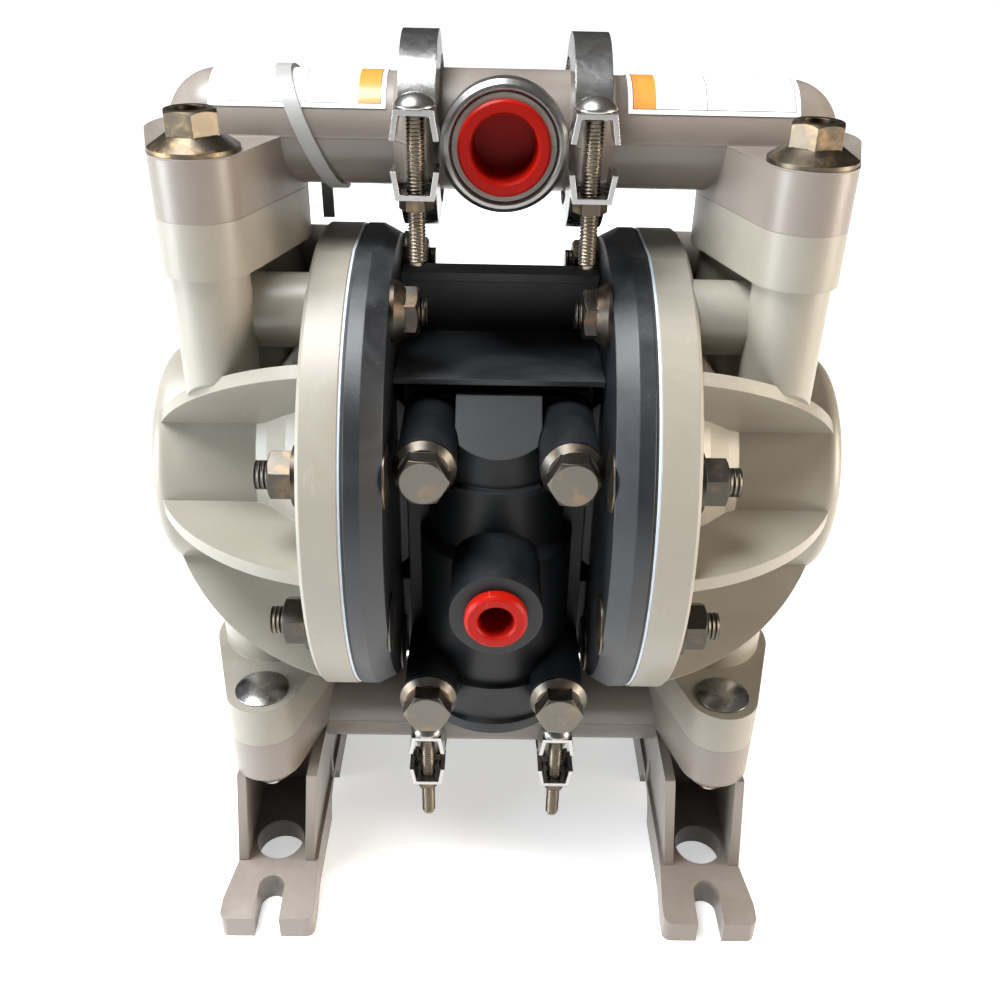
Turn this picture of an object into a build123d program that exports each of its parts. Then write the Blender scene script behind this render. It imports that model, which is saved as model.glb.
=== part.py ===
from build123d import *
import os
from math import cos, radians, sin, sqrt

os.makedirs("parts", exist_ok=True)

# Air operated double diaphragm pump with half inch fluid ports.
# Lengths are in millimetres. The origin is on the floor, under the middle of the pump; +Z is up,
# the two fluid chambers lie along X, and the air valve faces -Y. The shapes below are drawn about
# the diaphragm axis and are lifted onto their feet when they are saved.

# ---- Overall ----
AXIS_HEIGHT = 160.0  # diaphragm axis above the floor
JOINT_Z = 88.5  # manifold joint faces, above and below the axis
PIPE_Z = 104.5  # manifold pipes, above and below the axis
COLUMN_X = 78.8  # fluid columns and feet, from the middle of the pump
FLANGE_BOLT_Y = 33.6  # manifold bolts, in front of and behind the columns
DRUM_END_X = 105.0  # outer ends of the fluid caps

# ---- Clamped rims ----
AIR_RIM_X = 41.2  # sealing face of the air cap
DIAPHRAGM_T = 0.8  # each of the two diaphragm layers at the rim
FLUID_RIM_X = AIR_RIM_X + 2 * DIAPHRAGM_T
RIM_R = 75.0
RIM_FLAT = 1.6  # depth of the flats moulded at the top and bottom of each rim
FLUID_RIM_T = 11.0
RIM_OUT_X = FLUID_RIM_X + FLUID_RIM_T
AIR_RIM_BACK_X = 31.0
BOLT_INSET = 11.0  # bolt circle from the rim's edge
BOLT_CIRCLE_R = RIM_R - BOLT_INSET
BOLT_ANGLES = [22.5 + 45 * k for k in range(8)]
STUD_ANGLES = [a for a in BOLT_ANGLES if sin(radians(a)) > 0.9]
THROUGH_ANGLES = [a for a in BOLT_ANGLES if a not in STUD_ANGLES]

# ---- Chambers and diaphragms ----
CHAMBER_R = 50.0
PLATE_R = 27.0
FLEX_RISE = 5.0  # height of the diaphragm's rolled convolution
DRUM_R = 35.8
DRUM_WALL = 6.0
DRUM_BORE_R = DRUM_R - DRUM_WALL
RIB_HALF_T = 2.0
RIB_BOW_X = 79.0  # where each rib's bowed edge is set
RIB_BOW_R = RIM_R - 13.0
HUB_X = 28.5  # air caps meet the centre body here
HUB_R = 34.0
AIR_DISH_X = 33.0
STROKE = 4.5  # travel of the shaft each way
SHAFT_R = 8.0
SHAFT_FIT = 0.05
BUSH_R = 11.0
BUSH_L = 12.0
SHAFT_STUD_R = 6.0
PLATE_T = 3.4
FLUID_PLATE_T = 7.2
PILOT_R = 4.0
PILOT_Y = 4.0
PILOT_Z = -22.0
PILOT_HALF = 34.2
AIR_PORT_R = 4.0
CAP_SCREW_R = 2.5
CAP_SCREW_HEAD_R = 4.2
CAP_SCREW_HEAD_T = 2.2
CAP_SCREW_CIRCLE_R = 17.0
CAP_SCREW_ANGLES = (30, 150, 210, 330)

# ---- Manifolds ----
PIPE_R = 15.1
PIPE_BORE_R = 11.5
FLANGE_END_R = 12.0
FLANGE_MID_R = 22.0
FLANGE_T = 16.0
CAP_FLANGE_T = 15.0
STUD_DEPTH = 24.0  # manifold studs, into the fluid caps
COLUMN_R = 10.5
CORE_R = 19.0
CLAMP_X = 23.0  # middle of each band clamp
FERRULE_R = 23.8
FERRULE_LAND = 2.2
FERRULE_SLOPE_X = 4.0
FERRULE_ROOT_R = 19.4
TEE_R = 16.2
TEE_GAP = 0.1  # each ferrule stands this far off the middle of its clamp
PORT_FACE = 24.0  # port face from the pipe axis
PORT_LIP_R = 17.1
PORT_NECK_R = 15.6
PORT_BORE_R = 10.3
PORT_THREAD_L = 12.5
PORT_PASSAGE_R = 8.8
PORT_LAND = 0.6
PORT_LAND_R = 13.9
PORT_RING_L = 6.6
SEAL_T = 2.0
SEAL_RING_R = (13.0, 17.5)

# ---- Check valves ----
BALL_R = 8.0
BALL_RISE = 5.0  # ball centre above its seat
SEAT_R = 15.0
SEAT_BORE_R = 6.0
SEAT_T = 6.0
SEAT_FIT = 0.1
SEAT_CLEARANCE = 0.3
ORING_R = 1.05
ORING_RING_R = 16.4
ORING_GROOVE_R = 17.8
ORING_GROOVE_T = 2.2

# ---- Feet ----
TOE_Y = 66.0
TOE_T = 9.0
TOE_RISE_Y = FLANGE_BOLT_Y
TOE_TOP = -AXIS_HEIGHT + 13.6  # floor of the foot between its walls
TOE_X = (62.3, 95.3)
WALL_Y = 43.0
WALL_IN_FEET = (64.9, 68.2)  # inner wall at the foot plate
WALL_IN_TOP = (61.0, 64.6)  # inner wall under the flange
WALL_OUT_FEET = (89.0, 92.6)
WALL_OUT_TOP = (85.6, 88.8)
SLOT_W = 9.2
SLOT_END_Y = 53.5
TOOL_HOLE_R = 8.6
FOOT_WEB_T = 4.0
ELBOW_FIT = 0.05  # foot walls under the elbow's pipe
ARCH_R = 11.0
RECESS_Y = 44.0
RECESS_T = 5.0

# ---- Band clamps ----
BAND_R = 26.0
BAND_T = 1.4
BAND_HALF = 4.9
BAND_SKIRT = 5.6
BAND_SKIRT_R = 19.9
BAND_GAP = 10.0  # half the opening between the band's ends
TBOLT_Y = 30.0
TBOLT_R = 2.4
TBOLT_HEAD_R = 5.5
TBOLT_TOP = 9.5
TBOLT_TAIL = 30.0
SADDLE_HALF = 5.1
SADDLE_SPREAD = 1.2
SADDLE_T = 1.4
SADDLE_ARM = 6.0
SADDLE_LOW = -11.5
CLAMP_NUT_AF = 8.0
CLAMP_NUT_T = 3.2

# ---- Fasteners ----
M8_R = 4.0
M8_HOLE_R = 4.4
M8_AF = 13.0
M8_NUT_T = 6.6
M8_DISC_R = 9.0
THREAD_FIT = 0.05
WASHER_T = 1.6
WASHER_R = 8.6
BIG_DISC_R = 11.6  # wide flange of the manifold nuts
BIG_NUT_T = 9.0
BIG_NUT_TURN = 15.0
CARRIAGE_R = 9.0
CARRIAGE_T = 2.8
LOW_HEAD_T = 1.3
STUD_IN = 14.0

# ---- Air valve ----
VALVE_Y = -26.0  # axis of the upright spool bore
BODY_FACE_Y = -20.0
VALVE_PLATE_T = 4.0
GASKET_T = 1.0
VALVE_R = 21.0
VALVE_LOW_R = 24.0
VALVE_RING_R = 26.0
VALVE_HALF_W = 27.9  # keeps clear of the bolt heads on the air caps
TOP_CAP_R = 20.0
TOP_CAP_HALF = 12.6
TOP_CAP_Z = 12.3
TOP_CAP_BACK_Z = 36.0
TOP_CAP_FRONT_Z = 23.0
SHOULDER_Z = -8.0
END_CAP_Z = -58.5
VALVE_BOTTOM = -77.6
END_RING_T = 2.6  # raised ring round the end cap
END_RING_Z = VALVE_BOTTOM + 4.0
SCREW_X = 20.6
SCREW_Z = (24.6, -58.0)
SCREW_BOSS_R = 9.1
SCREW_FACE_Y = -54.0
SCREW_R = 3.95
AIR_Z = -14.0
AIR_BOSS_R = 13.3
AIR_FACE_Y = -70.0
AIR_BORE_R = 6.6
PASSAGE_HALF = 6.0
PASSAGE_Z = (-34.0, -14.0)  # air passage between the valve and the centre body
SPOOL_Y = -31.0
SPOOL_R = 7.95
SPOOL_FIT = 0.05
SPOOL_WAIST_R = 5.4
SPOOL_HALF = 20.0
SPOOL_TRAVEL = 3.0
SPOOL_MID = -24.0
SPOOL_TOP = SPOOL_MID + SPOOL_HALF + SPOOL_TRAVEL + 1.0

# ---- Centre body ----
BODY_BACK_Y = 30.0
BODY_TOP = 36.0
BODY_BOTTOM = -70.0
BODY_CORNER = 6.0
SHELF_FRONT_Y = -30.0
SHELF_TOP = 41.0
SHELF_T = 1.8  # lip of the shelf, over the valve
WEB_Y = (8.0, 13.0)
WEB_TOP = 61.0
WEB_LIP = 2.0
EXHAUST_Z = -14.0
EXHAUST_R = 15.0
EXHAUST_FACE_Y = 38.0
MUFFLER_BORE_R = 8.2
MUFFLER_R = 13.5
MUFFLER_END_Y = 73.5

# ---- Shipping plugs and tie ----
PLUG_WALL = 1.3
PORT_PLUG_FLANGE_R = 12.4
AIR_PLUG_FLANGE_R = 8.95
PLUG_FLANGE_T = 1.8
AIR_PLUG_FLANGE_T = 3.5
PORT_PLUG_L = 12.0
AIR_PLUG_L = 11.0
PLUG_FIT = 0.1
TIE_X = -53.5
TIE_LEAN = 23.0
TIE_W = 4.0
TIE_T = 1.2
TIE_HEAD_T = 4.6
TIE_HEAD_H = 7.0
TIE_TAIL_L = 27.0


# ---- Placing and drawing helpers ----
def save(name, *shapes):
    """Lift the shapes onto the feet and write them as one sub-part."""
    lifted = [Pos(0, 0, AXIS_HEIGHT) * shape for shape in shapes]
    solids = [solid for shape in lifted for solid in shape.solids()]
    export_step(solids[0] if len(solids) == 1 else Compound(solids), f"parts/{name}.step")


def other_side(shape):
    return mirror(shape, about=Plane.YZ)


def underside(shape):
    return mirror(shape, about=Plane.XY)


def rod_x(x0, x1, y, z, r):
    return Pos((x0 + x1) / 2, y, z) * Rot(0, 90, 0) * Cylinder(r, abs(x1 - x0))


def rod_y(y0, y1, x, z, r):
    return Pos(x, (y0 + y1) / 2, z) * Rot(90, 0, 0) * Cylinder(r, abs(y1 - y0))


def rod_z(z0, z1, x, y, r):
    return Pos(x, y, (z0 + z1) / 2) * Cylinder(r, abs(z1 - z0))


def block(x0, x1, y0, y1, z0, z1):
    return Pos((x0 + x1) / 2, (y0 + y1) / 2, (z0 + z1) / 2) * Box(x1 - x0, y1 - y0, z1 - z0)


def turned(points):
    """Revolve a closed outline of (distance along, radius) about X."""
    outline = Polyline(*[(x, 0, r) for x, r in points], close=True)
    return revolve(make_face(outline), Axis.X, 360)


def turned_up(points):
    """Revolve a closed outline of (radius, height) about Z."""
    outline = Polyline(*[(r, 0, z) for r, z in points], close=True)
    return revolve(make_face(outline), Axis.Z, 360)


def around(angles, radius):
    """Places on the bolt circle as (y, z); the angle rises from the front, -Y, towards +Z."""
    return [(-radius * cos(radians(a)), radius * sin(radians(a))) for a in angles]


def along_x(shape, x, y, z):
    """Turn a shape drawn up Z so that it points along +X, and place it."""
    return Pos(x, y, z) * Rot(0, 90, 0) * shape


def to_front(shape, x, y, z):
    """Turn a shape drawn up Z so that it points along -Y, and place it."""
    return Pos(x, y, z) * Rot(90, 0, 0) * shape


# ---- Fasteners, drawn up Z from their bearing face ----
def hexagon(across_flats, height, bore=0.0):
    body = extrude(RegularPolygon(across_flats / 2, 6, major_radius=False), height)
    corner = across_flats / sqrt(3)
    bevel = corner - 0.48 * across_flats
    crown = turned_up(
        [(0, 0), (corner, 0), (corner, height - 0.6 * bevel), (corner - bevel, height), (0, height)]
    )
    body = body & crown
    return body - Cylinder(bore, 3 * height) if bore else body


def flange_nut(disc_r, nut_t=M8_NUT_T, bore=M8_R):
    cone = turned_up([(0, 0), (disc_r, 0), (disc_r, 1.2), (0.55 * M8_AF, 4.2), (0, 4.2)])
    return (cone + Pos(0, 0, 1.2) * hexagon(M8_AF, nut_t)) - Cylinder(bore, 40)


def carriage_head(radius, height):
    rise = height - 0.5
    sphere_r = (radius * radius + rise * rise) / (2 * rise)
    cap = Pos(0, 0, height - sphere_r) * Sphere(sphere_r)
    return cap & Pos(0, 0, height / 2) * Cylinder(radius, height)


def flange_screw(length):
    disc = turned_up([(0, 0), (M8_DISC_R, 0), (M8_DISC_R, 1.0), (0.55 * M8_AF, 3.0), (0, 3.0)])
    head = disc + Pos(0, 0, 1.0) * hexagon(M8_AF, 7.8)
    return head + Pos(0, 0, -length / 2) * Cylinder(SCREW_R, length)


# ---- Manifold flange shared by the caps, elbows and feet ----
def flange_outline():
    """Lozenge round two bolts and the fluid column."""
    circles = [Pos(COLUMN_X, side * FLANGE_BOLT_Y) * Circle(FLANGE_END_R) for side in (-1, 1)]
    circles.append(Pos(COLUMN_X, 0) * Circle(FLANGE_MID_R))
    return make_hull([edge for circle in circles for edge in circle.edges()])


def flange_plate(z0, z1):
    return extrude(Pos(0, 0, z0) * flange_outline(), z1 - z0)


def flange_bolt_holes(z0, z1):
    return [rod_z(z0, z1, COLUMN_X, side * FLANGE_BOLT_Y, M8_HOLE_R) for side in (-1, 1)]


def seat_pocket():
    """Counterbore for a seat and its O-ring, below the upper joint face."""
    pocket = rod_z(JOINT_Z - SEAT_T, JOINT_Z, COLUMN_X, 0, SEAT_R + SEAT_FIT)
    return pocket + rod_z(JOINT_Z - ORING_GROOVE_T, JOINT_Z, COLUMN_X, 0, ORING_GROOVE_R)


# ---- Fluid caps ----
def fluid_rib(angle):
    """Radial fin from the rim to the drum, with a bowed outer edge."""
    root = DRUM_R - 3
    edge = ThreePointArc((RIM_OUT_X - 2, 0, RIM_R - 1), (RIB_BOW_X, 0, RIB_BOW_R), (DRUM_END_X - 4, 0, root + 3))
    sides = Polyline(
        (DRUM_END_X - 4, 0, root + 3), (DRUM_END_X - 4, 0, root), (RIM_OUT_X - 2, 0, root),
        (RIM_OUT_X - 2, 0, RIM_R - 1),
    )
    fin = extrude(make_face([edge, *sides.edges()]), RIB_HALF_T, both=True)
    return Rot(90 - angle, 0, 0) * fin


def fluid_cap():
    rim_edge = 1.0
    corner = 5.0
    body = turned([
        (FLUID_RIM_X, 0), (FLUID_RIM_X, RIM_R), (RIM_OUT_X - rim_edge, RIM_R),
        (RIM_OUT_X, RIM_R - rim_edge), (RIM_OUT_X, CHAMBER_R), (62, 44.5), (69, 37.5), (72.5, DRUM_R),
        (DRUM_END_X, DRUM_R), (DRUM_END_X, 0),
    ])
    end_edge = body.edges().filter_by(GeomType.CIRCLE).sort_by(Axis.X)[-1]
    body = fillet(end_edge, corner)
    for angle in (45, 0, -45, 135, 180, 225):
        body += fluid_rib(angle)
    neck = flange_plate(JOINT_Z - CAP_FLANGE_T, JOINT_Z)
    neck += rod_z(DRUM_R * 0.6, JOINT_Z - 1, COLUMN_X, 0, CORE_R)
    body += neck
    body += underside(neck)
    for side in (-1, 1):
        column = rod_z(0, JOINT_Z - 1, COLUMN_X, side * FLANGE_BOLT_Y, COLUMN_R)
        below_rib = Rot(45 * side, 0, 0) * block(0, 2 * COLUMN_X, -RIM_R, RIM_R, -2 * RIM_R, 0)
        body += column - below_rib
    for y, z in around(STUD_ANGLES, BOLT_CIRCLE_R):
        body += rod_x(RIM_OUT_X - 1, COLUMN_X - 6, y, z, COLUMN_R)
    body -= turned([
        (FLUID_RIM_X - 1, 0), (FLUID_RIM_X - 1, CHAMBER_R), (46, CHAMBER_R - 1), (55, 40), (61, 33),
        (65, DRUM_BORE_R), (DRUM_END_X - DRUM_WALL, DRUM_BORE_R), (DRUM_END_X - DRUM_WALL, 0),
    ])
    body -= rod_z(-JOINT_Z - 1, JOINT_Z + 1, COLUMN_X, 0, PIPE_BORE_R)
    body -= seat_pocket()
    for side in (-1, 1):
        y = side * FLANGE_BOLT_Y
        body -= rod_z(JOINT_Z - STUD_DEPTH - 1, JOINT_Z + 1, COLUMN_X, y, M8_R)
        body -= rod_z(-JOINT_Z - 1, -JOINT_Z + CAP_FLANGE_T + 1, COLUMN_X, y, M8_HOLE_R)
    for y, z in around(THROUGH_ANGLES, BOLT_CIRCLE_R):
        body -= rod_x(FLUID_RIM_X - 1, RIM_OUT_X + 1, y, z, M8_HOLE_R)
    for y, z in around(STUD_ANGLES, BOLT_CIRCLE_R):
        body -= rod_x(FLUID_RIM_X - 1, FLUID_RIM_X + STUD_IN + 1, y, z, M8_R)
    return body - rim_flats()


def rim_flats():
    """The slices above and below a rim that its two flats leave off."""
    half = RIM_R / 3
    upper = block(0, RIM_OUT_X + 0.01, -half, half, RIM_R - RIM_FLAT, RIM_R + 5)
    return upper + underside(upper)


# ---- Air caps and centre body ----
def air_cap():
    bevel_x, bevel_r = 4.4, 3.0
    body = turned([
        (AIR_RIM_X, 0), (AIR_RIM_X, RIM_R), (AIR_RIM_X - bevel_x, RIM_R),
        (AIR_RIM_BACK_X, RIM_R - bevel_r), (AIR_RIM_BACK_X, HUB_R + 1.8), (HUB_X, HUB_R), (HUB_X, 0),
    ])
    body -= turned([
        (AIR_RIM_X + 1, 0), (AIR_RIM_X + 1, CHAMBER_R), (AIR_RIM_X - 2, CHAMBER_R - 1),
        (AIR_DISH_X + 1.5, PLATE_R + 4), (AIR_DISH_X, PLATE_R + 1), (AIR_DISH_X, 0),
    ])
    body -= block(0, AIR_RIM_BACK_X, -RIM_R, BODY_FACE_Y, -HUB_R - 2, HUB_R + 2)
    body -= rod_x(0, AIR_RIM_X, 0, 0, BUSH_R)
    body -= rod_x(0, AIR_RIM_X, PILOT_Y, PILOT_Z, PILOT_R + SHAFT_FIT)
    body -= rod_x(0, AIR_RIM_X, PILOT_Y, -PILOT_Z, AIR_PORT_R)
    for y, z in around(THROUGH_ANGLES, BOLT_CIRCLE_R) + around(STUD_ANGLES, BOLT_CIRCLE_R):
        body -= rod_x(0, AIR_RIM_X + 1, y, z, M8_HOLE_R)
    for y, z in around(CAP_SCREW_ANGLES, CAP_SCREW_CIRCLE_R):
        body -= rod_x(0, AIR_RIM_X, y, z, CAP_SCREW_R + 0.2)
        body -= rod_x(AIR_DISH_X - CAP_SCREW_HEAD_T, AIR_RIM_X, y, z, CAP_SCREW_HEAD_R + 0.3)
    return body - rim_flats()


def centre_body():
    face = HUB_X - GASKET_T
    body = block(-face, face, BODY_FACE_Y, BODY_BACK_Y, BODY_BOTTOM, BODY_TOP)
    body = fillet(body.edges().filter_by(Axis.X), BODY_CORNER)
    shelf_half = AIR_RIM_BACK_X - 0.2
    shelf = block(-shelf_half, shelf_half, BODY_FACE_Y, WEB_Y[1], BODY_TOP, SHELF_TOP)
    shelf += block(-shelf_half, shelf_half, SHELF_FRONT_Y, BODY_FACE_Y, SHELF_TOP - SHELF_T, SHELF_TOP)
    skirt_top = -HUB_R - 2.2
    skirt = block(-shelf_half, shelf_half, BODY_FACE_Y, BODY_BACK_Y, BODY_BOTTOM, skirt_top)
    skirt = fillet(skirt.edges().filter_by(Axis.X).group_by(Axis.Z)[0], BODY_CORNER)
    head_x = AIR_RIM_BACK_X - LOW_HEAD_T - 0.3
    for y, z in around(THROUGH_ANGLES, BOLT_CIRCLE_R):
        for side in (-1, 1):
            skirt -= rod_x(side * head_x, side * AIR_RIM_BACK_X, y, z, CARRIAGE_R + 0.3)
    web = block(-shelf_half, shelf_half, WEB_Y[0], WEB_Y[1], SHELF_TOP, WEB_TOP)
    lip = block(-shelf_half, shelf_half, WEB_Y[0] - WEB_LIP, WEB_Y[1] + WEB_LIP, WEB_TOP - 3, WEB_TOP)
    body += shelf + web + lip + skirt
    body += rod_y(BODY_BACK_Y - 1, EXHAUST_FACE_Y, 0, EXHAUST_Z, EXHAUST_R)
    for x in (-SCREW_X, SCREW_X):
        for z in SCREW_Z:
            body -= rod_y(BODY_FACE_Y - 1, BODY_FACE_Y + 14, x, z, M8_R)
    body -= rod_x(-2 * face, 2 * face, 0, 0, BUSH_R)
    body -= rod_x(-2 * face, 2 * face, PILOT_Y, PILOT_Z, PILOT_R + SHAFT_FIT)
    body -= rod_x(-2 * face, 2 * face, PILOT_Y, -PILOT_Z, AIR_PORT_R)
    body -= rod_y(EXHAUST_FACE_Y - 16, EXHAUST_FACE_Y + 1, 0, EXHAUST_Z, MUFFLER_BORE_R)
    body -= block(-PASSAGE_HALF, PASSAGE_HALF, BODY_FACE_Y - 1, BODY_FACE_Y + 6, *PASSAGE_Z)
    for side in (-1, 1):
        for y, z in around(CAP_SCREW_ANGLES, CAP_SCREW_CIRCLE_R):
            body -= rod_x(side * (face - 12), side * (face + 1), y, z, CAP_SCREW_R)
    return body


def centre_gaskets():
    """Flat gaskets between the centre body and the two air caps."""
    face = HUB_X - GASKET_T
    sheet = block(face, HUB_X, BODY_FACE_Y + 1, BODY_BACK_Y - 1, -HUB_R - 2, BODY_TOP - 1)
    sheet -= rod_x(0, RIM_R, 0, 0, BUSH_R + 0.5)
    sheet -= rod_x(0, RIM_R, PILOT_Y, PILOT_Z, PILOT_R + 0.5)
    sheet -= rod_x(0, RIM_R, PILOT_Y, -PILOT_Z, AIR_PORT_R)
    for y, z in around(CAP_SCREW_ANGLES, CAP_SCREW_CIRCLE_R):
        sheet -= rod_x(0, RIM_R, y, z, CAP_SCREW_R + 0.3)
    return [sheet, other_side(sheet)]


def cap_screws():
    """Socket head screws that hold the air caps to the centre body, inside the dishes."""
    head_x = AIR_DISH_X - CAP_SCREW_HEAD_T
    screws = []
    for y, z in around(CAP_SCREW_ANGLES, CAP_SCREW_CIRCLE_R):
        screw = rod_x(head_x, AIR_DISH_X, y, z, CAP_SCREW_HEAD_R)
        screw += rod_x(HUB_X - GASKET_T - 10, head_x + 0.5, y, z, CAP_SCREW_R)
        socket = extrude(RegularPolygon(CAP_SCREW_R - 0.5, 6, major_radius=False), 3)
        screw -= along_x(socket, AIR_DISH_X - 2, y, z)
        screws += [screw, other_side(screw)]
    return screws


# ---- Diaphragm assembly ----
def flexing_layer(inner, outer, inner_rise, outer_rise):
    """One diaphragm layer: flat middle and rim with a rolled convolution between them."""
    mid = (PLATE_R + CHAMBER_R) / 2
    low, high = PLATE_R + 1, CHAMBER_R - 1
    near = ThreePointArc((inner, 0, low), (inner + inner_rise, 0, mid), (inner, 0, high))
    far = ThreePointArc((outer, 0, low), (outer + outer_rise, 0, mid), (outer, 0, high))
    hole = Polyline((inner, 0, low), (inner, 0, SHAFT_STUD_R), (outer, 0, SHAFT_STUD_R), (outer, 0, low))
    rim = Polyline((inner, 0, high), (inner, 0, RIM_R - 0.4), (outer, 0, RIM_R - 0.4), (outer, 0, high))
    layer = revolve(make_face([near, far, *hole.edges(), *rim.edges()]), Axis.X, 360)
    for y, z in around(BOLT_ANGLES, BOLT_CIRCLE_R):
        layer -= rod_x(0, DRUM_END_X, y, z, M8_HOLE_R)
    return layer - rim_flats()


def diaphragm():
    return flexing_layer(AIR_RIM_X + DIAPHRAGM_T, FLUID_RIM_X, FLEX_RISE, FLEX_RISE)


def diaphragm_backup():
    return flexing_layer(AIR_RIM_X, AIR_RIM_X + DIAPHRAGM_T, FLEX_RISE - 1.6, FLEX_RISE)


def air_side_plate():
    plate = turned([
        (AIR_RIM_X, SHAFT_STUD_R), (AIR_RIM_X, PLATE_R - 1.5), (AIR_RIM_X - 1.5, PLATE_R),
        (AIR_RIM_X - PLATE_T + 1, PLATE_R - 2), (AIR_RIM_X - PLATE_T, PLATE_R - 4),
        (AIR_RIM_X - PLATE_T, SHAFT_STUD_R),
    ])
    return plate


def fluid_side_plate():
    top = FLUID_RIM_X + FLUID_PLATE_T
    return turned([
        (FLUID_RIM_X, 0), (FLUID_RIM_X, PLATE_R - 1.5), (FLUID_RIM_X + 1.5, PLATE_R),
        (FLUID_RIM_X + 3, PLATE_R), (top - 1.6, 14), (top, 10), (top, 0),
    ]) - rod_x(0, FLUID_RIM_X + 4, 0, 0, SHAFT_STUD_R)


def diaphragm_shaft():
    shoulder = AIR_RIM_X - PLATE_T
    half = rod_x(0, shoulder, 0, 0, SHAFT_R) + rod_x(shoulder - 1, FLUID_RIM_X + 4, 0, 0, SHAFT_STUD_R)
    return half + other_side(half)


def shaft_bush():
    bush = rod_x(HUB_X + 3 - BUSH_L, HUB_X + 3, 0, 0, BUSH_R)
    return bush - rod_x(0, RIM_R, 0, 0, SHAFT_R + SHAFT_FIT)


def shaft_seal():
    start = HUB_X + 3 - BUSH_L
    ring = rod_x(start - 3, start, 0, 0, BUSH_R) - rod_x(0, RIM_R, 0, 0, SHAFT_R + 2 * SHAFT_FIT)
    return ring


def pilot_rod():
    rod = rod_x(-PILOT_HALF, PILOT_HALF, PILOT_Y, PILOT_Z, PILOT_R)
    return chamfer(rod.edges().filter_by(GeomType.CIRCLE), 0.6)


# ---- Air valve ----
def valve_plate():
    """Outline of the valve's mounting plate, with its bore and screw holes."""
    plate = Pos(0, (SCREW_Z[0] + SCREW_Z[1]) / 2) * RectangleRounded(
        2 * (SCREW_X + SCREW_BOSS_R), SCREW_Z[0] - SCREW_Z[1] + 2 * SCREW_BOSS_R, SCREW_BOSS_R - 0.5
    )
    return plate


def valve_block():
    low_front = 3.0
    body = Pos(0, VALVE_Y, 0) * turned_up([
        (0, END_CAP_Z), (VALVE_RING_R, END_CAP_Z), (VALVE_RING_R, END_CAP_Z + 2.4),
        (VALVE_LOW_R, END_CAP_Z + 2.8), (VALVE_LOW_R, SHOULDER_Z - low_front), (VALVE_R, SHOULDER_Z),
        (VALVE_R, TOP_CAP_Z - 1.2), (VALVE_R + 1, TOP_CAP_Z - 1.0), (VALVE_R + 1, TOP_CAP_Z),
        (0, TOP_CAP_Z),
    ])
    back = BODY_FACE_Y - GASKET_T
    body -= block(-RIM_R, RIM_R, back, RIM_R, -RIM_R, RIM_R)
    plate = Plane((0, back, 0), x_dir=(1, 0, 0), z_dir=(0, -1, 0)) * valve_plate()
    body += extrude(plate, VALVE_PLATE_T)
    body += rod_y(VALVE_Y, AIR_FACE_Y, 0, AIR_Z, AIR_BOSS_R)
    for x in (-SCREW_X, SCREW_X):
        for z in SCREW_Z:
            body += rod_y(back, SCREW_FACE_Y, x, z, SCREW_BOSS_R)
    body = body & block(-VALVE_HALF_W, VALVE_HALF_W, -2 * RIM_R, 0, -2 * RIM_R, RIM_R)
    for x in (-SCREW_X, SCREW_X):
        for z in SCREW_Z:
            body -= rod_y(0, SCREW_FACE_Y - 1, x, z, M8_HOLE_R)
    body -= rod_z(END_CAP_Z - 1, SPOOL_TOP, 0, SPOOL_Y, SPOOL_R + SPOOL_FIT)
    body -= rod_y(SPOOL_Y, AIR_FACE_Y - 1, 0, AIR_Z, AIR_BORE_R)
    body -= block(-PASSAGE_HALF, PASSAGE_HALF, SPOOL_Y, 0, *PASSAGE_Z)
    return body


def valve_top_cap():
    """Sloping cover that closes the top of the valve between its two upper screw bosses."""
    cap = Pos(0, VALVE_Y, 0) * turned_up([
        (0, TOP_CAP_Z), (VALVE_R + 1, TOP_CAP_Z), (VALVE_R + 1, TOP_CAP_Z + 1.0),
        (TOP_CAP_R, TOP_CAP_Z + 1.3), (TOP_CAP_R, BODY_TOP), (0, BODY_TOP),
    ])
    back = BODY_FACE_Y - GASKET_T
    cap = cap & block(-TOP_CAP_HALF, TOP_CAP_HALF, -RIM_R, back - VALVE_PLATE_T, 0, RIM_R)
    front = VALVE_Y - TOP_CAP_R
    slope = Polyline(
        (0, SHELF_FRONT_Y, TOP_CAP_BACK_Z), (0, front - 5, TOP_CAP_FRONT_Z - 4),
        (0, front - 5, RIM_R), (0, SHELF_FRONT_Y, RIM_R), close=True,
    )
    cap -= extrude(make_face(slope), RIM_R, both=True)
    for x in (-SCREW_X, SCREW_X):
        cap -= rod_y(0, SCREW_FACE_Y - 1, x, SCREW_Z[0], SCREW_BOSS_R + 0.2)
    return cap


def valve_end_cap():
    cap = Pos(0, VALVE_Y, 0) * turned_up([
        (0, END_CAP_Z), (VALVE_LOW_R + 0.5, END_CAP_Z), (VALVE_LOW_R + 0.5, END_RING_Z + END_RING_T + 0.8),
        (VALVE_RING_R, END_RING_Z + END_RING_T), (VALVE_RING_R, END_RING_Z), (VALVE_LOW_R, END_RING_Z - 0.6),
        (VALVE_LOW_R, VALVE_BOTTOM + 0.8), (VALVE_LOW_R - 1.2, VALVE_BOTTOM), (0, VALVE_BOTTOM),
    ])
    cap += rod_z(END_CAP_Z - 1, END_CAP_Z + 6, 0, SPOOL_Y, SPOOL_R)
    cap -= block(-RIM_R, RIM_R, BODY_FACE_Y - GASKET_T - VALVE_PLATE_T, RIM_R, -2 * RIM_R, RIM_R)
    for x in (-SCREW_X, SCREW_X):
        cap -= rod_y(0, SCREW_FACE_Y - 1, x, SCREW_Z[1], SCREW_BOSS_R + 0.2)
    return cap


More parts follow.
